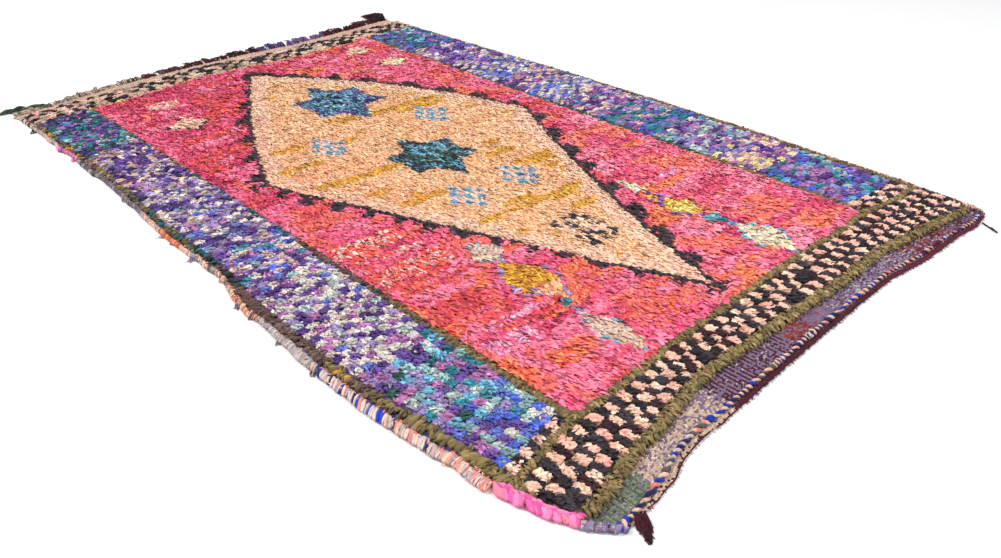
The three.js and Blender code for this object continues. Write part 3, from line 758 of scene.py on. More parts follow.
def cushions(cx, cy, hx, hy, dye, top, low):
    n = len(cx)
    g = np.array([-1.0, -0.42, 0.42, 1.0])
    v, u = [a.ravel() for a in np.meshgrid(g, g, indexing="ij")]
    rim = np.maximum(np.abs(u), np.abs(v)) > 0.9
    uu = u[None] * np.where(rim, 1.04, 1.0)[None] + rng.normal(0, 0.10, (n, 16))
    vv = v[None] * np.where(rim, 1.04, 1.0)[None] + rng.normal(0, 0.10, (n, 16))
    corner = np.where((np.abs(u) > 0.9) & (np.abs(v) > 0.9), 0.86, 1.0)
    x = cx[:, None] + uu * corner * hx[:, None]
    y = cy[:, None] + vv * corner * hy[:, None]
    z = np.where(rim, low, top)[None] + rng.normal(0, 0.5, (n, 16)) - rim_drop(x, y)
    # painted shade: the low rim of each cushion darker than its top, in the gaps between mounds
    col = LINEAR[dye][:, None, :] * (np.where(rim, 0.55, 0.96)[None, :, None] * np.exp(rng.normal(0, 0.08, (n, 16, 1))))
    return np.stack([x, y, z], 2), col, NET4[0], NET4[1]


def lumps(cx, cy, hx, hy, dye, across, deep, wide=6.2, long=12.5, fold=1.6, spread=0.33, top=13.8, low=10.0, fan=0.3,
          turn=None, stretch=None, stray=None, grow=1.0, value=0.13, jitter=0.13, fill=0.98, grain=0.0):
    """Mounds of strands; turn is each mound's own lean, stretch how much longer its strands are, stray dyes of the next mounds."""
    n = len(cx)
    m = across * deep
    gu = (np.arange(across) + 0.5) / across * 2 - 1
    gv = (np.arange(deep) + 0.5) / deep * 2 - 1
    gv, gu = [a.ravel() for a in np.meshgrid(gv, gu, indexing="ij")]
    turn = np.zeros(n) if turn is None else turn
    stretch = np.zeros(n) if stretch is None else stretch
    cx = cx + rng.normal(0, 1.3, n)
    cy = cy + rng.normal(0, 1.1, n)
    size = np.exp(rng.normal(0, 0.07, n)) * grow
    u = gu[None] * fill + rng.normal(0, jitter, (n, m))
    v = gv[None] * fill + rng.normal(0, jitter, (n, m)) + 0.06
    x = cx[:, None] + u * (hx * size)[:, None]
    y = cy[:, None] + v * (hy * size)[:, None]
    r2 = np.clip((u ** 2 + v ** 2) / 1.5, 0, 1)
    z = low - 0.4 + ((top - low) * (1 - r2)) * np.exp(rng.normal(0, 0.15, n))[:, None] + rng.normal(0, 0.6, (n, m)) - rim_drop(x, y)
    twist = rng.normal(0, 0.30, n)[:, None]
    round_ = (fan * (1 - 0.7 * stretch))[:, None]
    yaw = np.arctan2(u * round_ + twist + rng.normal(0, spread, (n, m)), 1.0 - v * round_ * 0.7 + rng.normal(0, spread, (n, m))) + turn[:, None]
    each = np.repeat(dye[:, None], m, axis=1)
    if stray is not None:
        other = np.take_along_axis(stray, rng.integers(0, stray.shape[1], (n, m)), axis=1)
        each = np.where(rng.random((n, m)) < (0.04 + 0.16 * stretch)[:, None], other, each)
    length = np.repeat(long * (1 + 0.55 * stretch), m)
    value = value + np.repeat(np.interp(cy, [-700, 100, 900], [0.0, 0.08, 0.17]) * grain, m)
    out, col, tris, spot = strands(x.ravel(), y.ravel(), z.ravel(), each.ravel(), yaw.ravel(), length, wide, fold, tilt=(50, 102), roll=20, value=value)
    col *= np.exp(-0.5 * (value ** 2 - value.min() ** 2))[:, None, None]
    # no two mounds are quite as dark
    col *= np.repeat(np.exp(np.minimum(rng.normal(0, 1.0, n) * np.interp(cy, [-900, -300, 300], [0.08, 0.14, 0.26]), 0.08)), m)[:, None, None]
    return [cushions(cx, cy, hx * size, hy * size, dye, top - 0.4, low - 0.6), (out, col, tris, spot)]


BORDER_COLS = 8
BORDER_ROWS = len(ROW_LINES) - 1
row_t = (ROW_LINES - ROW_LINES[0]) / (ROW_LINES[-1] - ROW_LINES[0])
for name, side, zones, black_rows in (("pile_border_left", -1, LEFT_ZONES, 1), ("pile_border_right", 1, RIGHT_ZONES, 2)):
    cells = border_cells(zones, BORDER_ROWS, BORDER_COLS, black_rows)
    ii, jj = np.meshgrid(np.arange(BORDER_ROWS), np.arange(BORDER_COLS), indexing="ij")
    t0, t1 = row_t[ii], row_t[ii + 1]
    # lines of lumps wander a little
    sway = 0.10 * np.sin(ii * 0.9 + side) + rng.normal(0, 0.07, ii.shape)
    cy = np.zeros(ii.shape)
    cx = side * 650.0 * np.ones(ii.shape)
    for _ in range(3):
        cy = field_y(0.5 * (t0 + t1), cx)
        cx = border_x(side, (jj + 0.5 + sway) / BORDER_COLS, cy)
    hx = np.abs(border_x(side, (jj + 1.0) / BORDER_COLS, cy) - border_x(side, jj / BORDER_COLS, cy)) / 2
    hy = (field_y(t1, cx) - field_y(t0, cx)) / 2
    # round mounds near the front left, long brushed strands over the rest
    brushed = np.interp(cy, [-420, -120, 350, 800], [0.0, 0.35, 0.65, 0.80]) if side < 0 else np.interp(cy, [-950, -620, -300, 500], [0.20, 0.45, 0.65, 0.85])
    turn = np.radians(18 + 48 * brushed)
    others = np.stack([np.roll(cells, k, axis).ravel() for k, axis in ((1, 0), (-1, 0), (1, 1), (-1, 1))], 1)
    joined(name, lumps(cx.ravel(), cy.ravel(), hx.ravel(), hy.ravel(), cells.ravel(), 5, 4, turn=turn.ravel(),
                                   stretch=brushed.ravel(), stray=others, value=0.27, fold=2.2, top=14.4, low=8.8, grain=1.0))


def band(rows, cols, y_of, dyes, across, deep, widen=0.0, lean=(0, 0), stretch=(0, 0), pale=(1.0, 1.0), **more):
    """Rows of mounds across the rug, wider by the share widen towards the right."""
    def share(s):
        return ((1 - widen) * s + widen * s * s)

    ii, jj = np.meshgrid(np.arange(rows), np.arange(cols), indexing="ij")
    cx = -720 + 1460 * (jj + 0.5) / cols
    sway = rng.normal(0, 0.14, ii.shape) + 0.10 * np.sin(jj * 0.37 + ii)
    for _ in range(4):
        cy = y_of((ii + 0.5) / rows, cx)
        cx = strip_x(share((jj + 0.5 + sway) / cols), cy)
    hx = np.abs(strip_x(share((jj + 1.0) / cols), cy) - strip_x(share(jj / cols), cy)) / 2
    hy = np.abs(y_of((ii + 1.0) / rows, cx) - y_of(ii / rows, cx)) / 2
    cy = cy + hy * (rng.normal(0, 0.14, cy.shape) + 0.12 * np.sin(jj * 0.61 + 2 * ii))
    turn = np.radians(np.interp(cx, [-700, 700], lean)).ravel()
    return lumps(cx.ravel(), cy.ravel(), hx.ravel(), hy.ravel(), dyes.ravel(), across, deep, turn=turn,
                 stretch=np.interp(cx.ravel(), [-300, 700], stretch), grow=np.where(LINEAR[dyes.ravel()].sum(1) > 0.6, np.interp(cx.ravel(), [-300, 700], pale), 1.04), **more)


def near_band_y(t, x):
    a, b = at(NEAR_PILE, x) + 22, at(NEAR_FIELD, x) - 8
    return a + (b - a) * t


def far_band_y(t, x):
    a, b = at(FAR_FIELD, x) + 9, at(FAR_PILE, x) - 9
    return a + (b - a) * t


def checks(rows, cols, slip, lost, dark_dyes, pale_dyes):
    ii, jj = np.meshgrid(np.arange(rows), np.arange(cols), indexing="ij")
    dark = (ii + jj) % 2 == 1
    dark ^= rng.random(ii.shape) < slip
    dark &= (rng.random(ii.shape) >= lost) | (jj < 4)
    out = choose(ii.size, *pale_dyes).reshape(ii.shape)
    out[dark] = choose(int(dark.sum()), *dark_dyes)
    return out


joined("pile_band_near", band(
    3, 72, near_band_y, checks(3, 72, 0.02, 0.0, (("black", "char", "soot"), (4, 4, 2)), (("check", "check2"), (3, 1))),
    4, 6, widen=0.03, lean=(22, 50), stretch=(0.0, 0.45), spread=0.34, wide=7.4, long=12.0, fold=2.0, fan=0.28, jitter=0.15, fill=0.92, value=0.17, pale=(0.86, 0.78)))
joined("pile_band_far", band(
    4, 62, far_band_y, checks(4, 62, 0.12, 0.16, (("black", "char", "soot"), (5, 2, 1)), (("bsand", "check2", "beige", "sand"), (4, 3, 3, 3))),
    4, 4, lean=(66, 66), stretch=(0.8, 0.8), spread=0.42, wide=5.4, long=13.0, value=0.15))

# guards: crumpled rag folded crosswise over the line
NET_ROLL = net(6, 4)


def rolls(px, py, ax, ay, wide, dye, thick, top=15.2, ragged=0.14):
    """Fat creased folds lying across a guard line; (ax, ay) is the way the line runs."""
    n = len(px)
    v = np.array([-1.0, -0.66, -0.22, 0.22, 0.66, 1.0])
    arch = np.array([0.34, 0.84, 1.0, 1.0, 0.84, 0.34])
    w = np.array([-1.0, -0.36, 0.36, 1.0])
    lift = np.array([-0.36, 0.0, 0.0, -0.36]) * min(thick, 9.4)
    slant = rng.normal(0.26, 0.40, n)
    nx, ny = -ay, ax
    hw = 0.5 * wide * np.exp(rng.normal(0, ragged, n))
    push = rng.normal(0, 0.6 + 5.0 * ragged, n)
    th = 0.5 * thick * 1.35 * np.exp(rng.normal(0, 0.20, n))
    tp = top * np.exp(rng.normal(0, 0.09, n)) - rim_drop(px, py)
    out = np.zeros((n, 24, 3))
    col = np.zeros((n, 24, 3))
    base = LINEAR[dye] * np.exp(rng.normal(0, 0.17, n))[:, None]
    for a in range(6):
        pinch = 0.70 + 0.30 * arch[a] + rng.normal(0, 0.12, n)
        for b in range(4):
            k = a * 4 + b
            along = w[b] * th * pinch + slant * v[a] * hw
            across = v[a] * hw + push + rng.normal(0, 0.7, n)
            out[:, k, 0] = px + ax * along + nx * across
            out[:, k, 1] = py + ay * along + ny * across
            out[:, k, 2] = 4 + (tp - 4) * arch[a] + lift[b] + rng.normal(0, 0.75, n)
            # painted shade: the tucked edges and the low ends of each fold darker, its top lighter
            col[:, k] = base * ((1.06 if 0 < b < 3 else 0.62) * (0.80 + 0.22 * arch[a])) * np.exp(rng.normal(0, 0.12, n))[:, None]
    out[..., 2] = np.maximum(out[..., 2], 3.4)
    return out, col, NET_ROLL[0], NET_ROLL[1]


def roll_line(path, pitch, tone, ragged=0.14):
    """Folds along a drawn line, with loose strands over them; tone gives dyes, width and hair from (x, y)."""
    path = np.asarray(path, float)
    run = np.concatenate([[0], np.cumsum(np.hypot(*np.diff(path, axis=0).T))])
    s = np.cumsum(pitch * np.exp(rng.normal(0, 0.20, int(run[-1] / pitch * 1.1))))
    s = s[s < run[-1] - 3]
    x, y = np.interp(s, run, path[:, 0]), np.interp(s, run, path[:, 1])
    x2, y2 = np.interp(s + 2, run, path[:, 0]), np.interp(s + 2, run, path[:, 1])
    x1, y1 = np.interp(s - 2, run, path[:, 0]), np.interp(s - 2, run, path[:, 1])
    d = np.hypot(x2 - x1, y2 - y1)
    ax, ay = (x2 - x1) / d, (y2 - y1) / d
    tones = [tone(a, b) for a, b in zip(x, y)]
    dye = np.array([choose(1, t[0])[0] for t in tones])
    wide = np.array([t[1] for t in tones], float)
    hair = np.array([t[2] for t in tones], float)
    k = np.repeat(np.arange(len(x)), rng.poisson(2.6 * hair))
    off, slide = rng.uniform(-0.5, 0.5, len(k)), rng.normal(0, 3.0, len(k))
    hx = x[k] - ay[k] * off * wide[k] + ax[k] * slide
    hy = y[k] + ax[k] * off * wide[k] + ay[k] * slide
    # across the line, to either side
    yaw = np.arctan2(-ay[k], -ax[k]) + np.radians(rng.normal(0, 32, len(k))) + np.where(rng.random(len(k)) < 0.5, 0, math.pi)
    z = 13.2 - 0.5 * rim_drop(hx, hy) + rng.normal(0, 0.6, len(k)) - 3.0 * np.abs(off) ** 2
    hairs = strands(hx, hy, z + 0.5, dye[k], yaw, 14.0, 5.4, 1.8, tilt=(60, 112), roll=26, value=0.18)
    return [rolls(x, y, ax, ay, wide, dye, pitch, ragged=ragged), hairs]


def side_line(x_of, lo, hi):
    y = np.arange(lo, hi, 8.0)
    return np.stack([x_of(y), y], 1)


def cross_line(y_of):
    x = np.arange(-760, 785, 8.0)
    y = y_of(x)
    keep = (x > body_left(y) + 3) & (x < body_right(y) - 3)
    return np.stack([x[keep], y[keep]], 1)


def guard_tone(table):
    return lambda x, y: zone(table, y + rng.normal(0, 12))[2:]


olive = ("olive", "olive2", "olive", "olive3")
guards = []
for line in (
        roll_line(side_line(lambda y: body_left(y) + guard_wide(LEFT_OUTER, y) * 0.5, -1060, 1000), 8.4, guard_tone(LEFT_OUTER), 0.26),
        roll_line(side_line(lambda y: body_right(y) - guard_wide(RIGHT_OUTER, y) * 0.5, -1010, 1005), 8.8, guard_tone(RIGHT_OUTER), 0.26),
        roll_line(side_line(lambda y: -525 - guard_wide(LEFT_INNER, y) * 0.5, -985, 1003), 9.0, guard_tone(LEFT_INNER), 0.36),
        roll_line(side_line(lambda y: 525 + guard_wide(RIGHT_INNER, y) * 0.5, -985, 1000), 9.0, guard_tone(RIGHT_INNER), 0.36),
        roll_line(cross_line(lambda x: at(NEAR_PILE, x) + 10.5), 5.2, lambda x, y: (olive, 23, 1.2)),
        roll_line(cross_line(lambda x: at(NEAR_FIELD, x) + 1.0), 6.0, lambda x, y: (olive, 18, 1.1)),
        roll_line(cross_line(lambda x: at(FAR_FIELD, x) + 3), 9.0, lambda x, y: (("yell", "beige", "sand", "olive"), 12, 0.6)),
        roll_line(cross_line(lambda x: at(FAR_PILE, x) - 4), 9.0, lambda x, y: (("sand", "yell", "beige", "sand"), 12, 0.6))):
    guards += line
joined("pile_guards", guards)


# the matted bed the strands stand in
def pile_bed():
    cols, rows = 85, 126
    s = np.linspace(0, 1, cols)
    t = np.linspace(0, 1, rows)
    tt, ss = np.meshgrid(t, s, indexing="ij")
    x = -720 + 1460 * ss
    for _ in range(5):
        a, b = at(NEAR_PILE, x) + 1, at(FAR_PILE, x) - 1
        y = a + (b - a) * tt
        x = body_left(y) + 1 + (body_right(y) - body_left(y) - 2) * ss
    field = (np.abs(x) < 520) & (y > at(NEAR_FIELD, x) + 6) & (y < at(FAR_FIELD, x) - 4)
    z = np.where(field, np.where(lozenge(x, y)[0] < 0, 12.4, 12.3), 9.6) - 1.6 * rim_drop(x, y) + rng.normal(0, 0.4, x.shape)
    dye = field_dye(x.ravel(), y.ravel()).reshape(x.shape)
    # the bed takes the dyes of the pile over it, darkened as painted shade under the strands, most under the borders,
    # bands and guards
    col = LINEAR[dye] * np.where(lozenge(x, y)[0] < 0, 0.90, 0.76)[..., None]
    edge = (x < -523) | (x > 523)
    col[edge] = LINEAR[choose(int(edge.sum()), ("purple", "lav", "bluegrey", "deep"))] * 0.7
    band_ = (y < at(NEAR_FIELD, x) + 8) | (y > at(FAR_FIELD, x))
    col[band_] = LINEAR[choose(int(band_.sum()), ("char", "check2", "olive2"))] * 0.6
    guard = (np.abs(np.abs(x) - 534) < 11) & ~band_
    col[guard] = LINEAR[INDEX["olive2"]] * 0.7
    faces = grid_faces(1, rows, cols)
    uv_ = np.stack([ss.ravel() * 1.5, tt.ravel() * 2.3], 1)
    flat = np.stack([ss.ravel(), tt.ravel()], 1)
    obj = new_mesh("pile_bed", place(np.stack([x, y, z], 2).reshape(-1, 3)), faces, col.reshape(-1, 3), uv_, flat)
    return finish_piece(obj, GROUND, "rug")


pile_bed()


# ------------------------------------------------------------------ woven ground
def ground_sheet():
    """The thin woven cloth that carries the knots, from the near edge to the far one."""
    lines = [(lambda x: at(NEAR_EDGE, x) + 4), (lambda x: at(TWINE, x)), (lambda x: at(NEAR_PILE, x))]
    for k in range(1, 4):
        lines.append(lambda x, t=k / 4: at(NEAR_PILE, x) * (1 - t) + at(NEAR_FIELD, x) * t)
    for k in range(81):
        lines.append(lambda x, t=k / 80: at(NEAR_FIELD, x) * (1 - t) + at(FAR_FIELD, x) * t)
    lines += [(lambda x: 0.5 * (at(FAR_FIELD, x) + at(FAR_PILE, x))), (lambda x: at(FAR_PILE, x)), (lambda x: at(FAR_EDGE, x))]
    cols = 81
    pts = np.zeros((len(lines), cols, 2))
    for j, line in enumerate(lines):
        s = np.linspace(0, 1, cols)
        x = -740 + 1490 * s
        last = j == len(lines) - 1
        for _ in range(12):
            y = line(x)
            left = at(LEFT, y) if last else body_left(y)
            right = at(RIGHT, y) if last else body_right(y)
            x = left + (right - left) * s
        pts[j, :, 0], pts[j, :, 1] = x, y
    rows = len(lines)
    top = np.concatenate([pts, np.full((rows, cols, 1), 3.2)], 2)
    top[..., 2] += rng.normal(0, 0.12, (rows, cols))
    low = np.concatenate([pts, np.full((rows, cols, 1), 0.7)], 2)
    low[..., 2] += rng.uniform(-0.4, 0.2, (rows, cols))
    x, y = pts[..., 0], pts[..., 1]
    shade = LINEAR[field_dye(x.ravel(), y.ravel())].reshape(rows, cols, 3)
    edge = np.abs(x) > 536
    shade[edge] = LINEAR[choose(int(edge.sum()), ("purple", "lav", "peri", "cream", "teal", "mauve"), (4, 3, 3, 3, 2, 3))]
    band_ = (y < at(NEAR_FIELD, x)) | (y > at(FAR_FIELD, x))
    shade[band_] = LINEAR[choose(int(band_.sum()), ("char", "check2", "check"))]
    near, far = y < at(NEAR_PILE, x) - 2, y > at(FAR_PILE, x) + 1
    # painted shade: the top of the ground under the pile darkened; the flat-woven ends keep their own dyes
    upper = shade * 0.55
    upper[near] = linear(DYE["wine"])
    upper[near & (x < -300)] = linear(DYE["beige"])
    upper[far] = linear(DYE["sand"])
    # the knots show through on the back, greyed by the cream warps between them
    lower = 0.62 * shade + 0.30 * linear(DYE["beige"])
    lower[near], lower[far] = linear(DYE["heather"]), linear(DYE["sand"])
    n = rows * cols
    verts = np.concatenate([top.reshape(-1, 3), low.reshape(-1, 3)])
    faces = []
    for j in range(rows - 1):
        for i in range(cols - 1):
            a = j * cols + i
            faces.append((a, a + 1, a + cols + 1, a + cols))
            faces.append((n + a, n + a + cols, n + a + cols + 1, n + a + 1))
    rim = [j * cols for j in range(rows)] + [(rows - 1) * cols + i for i in range(1, cols)] \
        + [j * cols + cols - 1 for j in range(rows - 2, -1, -1)] + list(range(cols - 2, 0, -1))
    for k in range(len(rim)):
        a, b = rim[k], rim[(k + 1) % len(rim)]
        faces.append((a, b, n + b, n + a))
    uv = np.concatenate([pts.reshape(-1, 2)] * 2) * 0.001
    colors = np.concatenate([upper.reshape(-1, 3), lower.reshape(-1, 3)])
    return new_mesh("ground_weave", place(verts), np.array(faces), colors, uv)


ground = finish_piece(ground_sheet(), GROUND, "rug")


# ------------------------------------------------------------------ flat-woven ends
def weave_grains(name, lo, hi, rise, pitch_x, pitch_y, tones, x0, x1, straight):
    """Weft stitches of a flat weave: small raised grains in rows between two lines."""
    cx, cy, cc, ang = [], [], [], []
    k = 0
    for row in range(int(120 / pitch_y)):
        xs = np.arange(x0, x1, pitch_x)
        line = straight(xs)
        xs = xs + (row % 2) * pitch_x * 0.5 * ~line
        ys = lo(xs) + 1.2 + row * pitch_y
        keep = ys < hi(xs)
        for x, y, even in zip(xs[keep], ys[keep], line[keep]):
            left, right = at(LEFT, y) + 3, at(RIGHT, y) - 3
            if y > at(NEAR_EDGE, x) and y < at(FAR_PILE, x):
                left, right = body_left(y) + 1, body_right(y) - 1
            if not left < x < right:
                continue
            cx.append(x)
            cy.append(y)
            cc.append(tones(x, y, row, k))
            ang.append(0.06 if even else (0.32 if row % 2 else -0.32))
            k += 1
    cx, cy = np.array(cx) + rng.normal(0, 0.4, len(cx)), np.array(cy) + rng.normal(0, 0.3, len(cy))
    ang = np.array(ang) + rng.normal(0, 0.14, len(ang))
    n = len(cx)
    # a grain: a ridge of two top points inside a six-sided foot
    foot = np.array([[-0.58, 0.0], [-0.28, -0.5], [0.28, -0.5], [0.58, 0.0], [0.28, 0.5], [-0.28, 0.5], [-0.24, 0.0], [0.24, 0.0]])
    hgt = np.array([0, 0.15, 0.15, 0, 0.15, 0.15, 1.0, 1.0])
    lx = foot[None, :, 0] * pitch_x * 1.06 * np.exp(rng.normal(0, 0.10, (n, 1)))
    ly = foot[None, :, 1] * pitch_y * 1.35 * np.exp(rng.normal(0, 0.10, (n, 1)))
    ca, sa = np.cos(ang)[:, None], np.sin(ang)[:, None]
    verts = np.zeros((n, 8, 3))
    verts[..., 0] = cx[:, None] + lx * ca - ly * sa
    verts[..., 1] = cy[:, None] + lx * sa + ly * ca
    verts[..., 2] = 3.0 + hgt[None] * rise * np.exp(rng.normal(0, 0.18, (n, 1)))
    tris = np.array([(0, 1, 6), (1, 2, 7), (1, 7, 6), (2, 3, 7), (3, 4, 7), (4, 5, 6), (4, 6, 7), (5, 0, 6)])
    # painted shade: each grain darker at its foot, lighter along its ridge
    col = linear(np.array(cc))[:, None, :] * np.exp(rng.normal(0, 0.14, (n, 1, 1))) * (0.60 + 0.46 * hgt)[None, :, None]
    return joined(name, [(verts, col, tris, foot * 0.8 + 0.5)], YARN)


NEAR_WEAVE = [  # x from, x to, dyes in turn, shares; the first two alternate by column where the stitches line up
    (-760, -553, ("ggrey", "fern2", "lilac2", "fern"), (5, 4, 1.2, 1.5)), (-553, -430, ("sand", "heather", "bsand", "lilac2", "beige"), (5, 3, 3, 1.5, 2)),
    (-430, -306, ("sand", "heather", "lilac2", "bsand"), (4, 4, 2, 2)), (-306, -60, ("lilac2", "maroon", "heather", "lgrey"), (5, 4, 2, 1)),
    (-60, 20, ("heather", "rust", "wine"), (4, 4, 2)), (20, 95, ("lilac2", "rust", "heather"), (6, 1, 3)),
    (95, 425, ("lilac2", "wine", "lgrey", "lilac", "mauve"), (5, 3, 3, 3, 1)), (425, 620, ("wine", "rust", "lilac2", "lgrey", "maroon"), (4, 3, 3, 1.6, 2)),
    (620, 800, ("lilac2", "maroon", "wine", "lgrey"), (3, 5, 2, 2))]


def columns_line_up(x):
    return ((x > -306) & (x < -60)) | (x > 620) | (x < -553)


def near_tone(x, y, row, k):
    if y < at(TWINE, x) - 5:
        if x > -306:
            return DYE[pick(("maroon", "wine", "soot"), (6, 2, 1))]
        return DYE[pick(("sand", "beige", "shell", "maroon"), (5, 3, 2, 1.2 if y > at(NEAR_EDGE, x) + 7 else 4))]
    z = x + rng.normal(0, 5)
    for a, b, dyes, shares in NEAR_WEAVE:
        if a <= z < b:
            if columns_line_up(np.array(x)) and rng.random() < (0.55 if x < -553 else 0.66):
                return DYE[dyes[int(np.floor(x / 5.4)) % 2]]
            return DYE[pick(dyes, shares)]
    return DYE["lilac"]


def far_tone(x, y, row, k):
    if x < 40 + rng.normal(0, 30) and row in (4, 5, 8):
        return DYE[pick(("ggrey", "sand", "brown"), (3, 4, 2))] if (k // 2) % 2 else DYE["sand"]
    return DYE[pick(("sand", "beige", "shell", "check2"), (4, 3, 2, 2))]


weaves = [
    weave_grains("flat_weave_near", lambda x: at(NEAR_EDGE, x) + 5, lambda x: at(NEAR_PILE, x) + 5, 1.9, 5.4, 3.6, near_tone, -700, 765, columns_line_up),
    weave_grains("flat_weave_far", lambda x: at(FAR_PILE, x) - 4, lambda x: at(FAR_EDGE, x), 1.9, 7.4, 4.2, far_tone, -720, 755, lambda x: x > 9000)]


# ------------------------------------------------------------------ tubes: twined row, overcasting, cut ends
def tube_rings(path, radius, sides=6, flat=1.0, phase=0.0):
    """Rings (m, sides, 3) along a path (m, 3); flat squeezes the ring's height."""
    path = np.asarray(path, float)
    tan = np.gradient(path, axis=0)
    tan /= np.linalg.norm(tan, axis=1, keepdims=True) + 1e-9
    side = np.cross(tan, (0, 0, 1.0))
    side /= np.linalg.norm(side, axis=1, keepdims=True) + 1e-9
    up = np.cross(side, tan)
    a = phase + np.arange(sides) / sides * 2 * math.pi
    radius = np.broadcast_to(np.asarray(radius, float), (len(path),))
    return path[:, None, :] + radius[:, None, None] * (np.cos(a)[None, :, None] * side[:, None, :]
                                                       + flat * np.sin(a)[None, :, None] * up[:, None, :])


class Tubes:
    """Collects tubes with closed ends into one mesh."""

    def __init__(self):
        self.v, self.f, self.c, self.uv, self.cell, self.n = [], [], [], [], [], 0
        self.count = 0

    def add(self, rings, colors, turns=1.0):
        m, s, _ = rings.shape
        base = self.n
        rings = rings.copy()
        rings[..., 2] = np.maximum(rings[..., 2], 0.25)
        colors = np.asarray(colors, float).reshape(m, -1, 3)
        self.v.append(rings.reshape(-1, 3))
        self.c.append(np.repeat(colors, s // colors.shape[1], axis=1).reshape(-1, 3))
        j, i = [a.ravel() for a in np.meshgrid(np.arange(m - 1), np.arange(s), indexing="ij")]
        a, b = base + j * s + i, base + j * s + (i + 1) % s
        self.f.append(np.concatenate([np.stack([a, b, b + s], 1), np.stack([a, b + s, a + s], 1)]))
        i = np.arange(1, s - 1)
        last = base + (m - 1) * s
        self.f.append(np.stack([0 * i + base, base + i + 1, base + i], 1))
        self.f.append(np.stack([0 * i + last, last + i, last + i + 1], 1))
        g = np.zeros((m, s, 2))
        g[..., 0] = np.arange(s)[None] / s
        g[..., 1] = np.arange(m)[:, None] / max(1, m - 1)
        self.uv.append((g * (1.0, turns * m * 0.12)).reshape(-1, 2))
        self.cell.append((self.count, g.reshape(-1, 2)))
        self.count += 1
        self.n += m * s

    def build(self, name, mat, node, slot):
        side = int(math.ceil(math.sqrt(self.count)))
        cell = np.concatenate([(np.array((k % side, k // side), float) + 0.06 + 0.88 * g) / side for k, g in self.cell])
        obj = new_mesh(name, place(np.concatenate(self.v)), np.concatenate(self.f), np.concatenate(self.c), np.concatenate(self.uv), cell)
        return finish_piece(obj, mat, node)


def wander(n, every, size):
    """A slow random wave of n steps."""
    k = int(n / every) + 3
    return np.interp(np.arange(n) / every, np.arange(k), rng.normal(0, size, k))


def twined_row():
    """Two fat yarns twisted round each other and stitched down along the near weave."""
    t = Tubes()
    x = np.arange(-646, 733, 2.2)
    y = at(TWINE, x)
    y = np.convolve(np.pad(y, 6, mode="edge"), np.ones(13) / 13, "valid") + wander(len(x), 9, 0.7)
    run = np.concatenate([[0], np.cumsum(np.hypot(np.diff(x), np.diff(y)))])
    pitch = np.interp(x, [-646, 150, 300, 740], [20, 19, 17, 16]) * np.exp(0.16 * np.sin(run / 97.0) + wander(len(x), 7, 0.42))
    turn = np.concatenate([[0], np.cumsum(np.diff(run) / pitch[1:])]) * 2 * math.pi
    slim = np.interp(x, [-646, -600, 150, 320, 740], [1.15, 1.0, 0.92, 0.82, 0.76]) * np.exp(wander(len(x), 11, 0.16))
    for strand in range(2):
        a = turn + strand * math.pi
        path = np.stack([x, y + 3.3 * slim * np.cos(a), 5.6 + 2.7 * slim * np.sin(a)], 1)
        path += rng.normal(0, 0.14, path.shape)
        block = np.cumsum(rng.random(len(x)) < np.interp(x, [150, 300], [0.08, 0.16]))
        pools = ((("blue", "blue", "blue", "navy", "dgrey"), ("shell", "cream", "corl", "check", "shell")),
                 (("navy", "blue", "blue", "wine3", "maroon"), ("cream", "shell", "white", "cream", "corl", "wine3")))
        first = [int(np.argmax(block == b)) for b in range(block[-1] + 1)]
        tones = np.stack([linear(DYE[pick(pools[int(x[k] > 230)][strand])]) for k in first])
        col = tones[block][:, None, :] * np.exp(rng.normal(0, 0.10, (len(x), 6, 1)))
        lens = 0.88 + np.interp(x, [150, 300], [0.36, 0.46]) * np.sin(a)
        t.add(tube_rings(path, 3.2 * slim * lens * np.exp(wander(len(x), 5, 0.09)), 6, 0.9), col)
    # a blue knot where the row is joined
    s = np.linspace(0, 1, 9)
    k = np.stack([-372 + 15 * s, at(TWINE, -365) + 2.5 * np.sin(s * 5), 7.5 + 2.2 * np.sin(s * math.pi)], 1)
    t.add(tube_rings(k, 5.2 * np.sin(0.25 + s * 2.6) ** 0.6, 6), np.tile(linear(DYE["blue"]) * 0.85, (9, 1, 1)))
    return t.build("twined_row", YARN, "rug", "rag_pile")


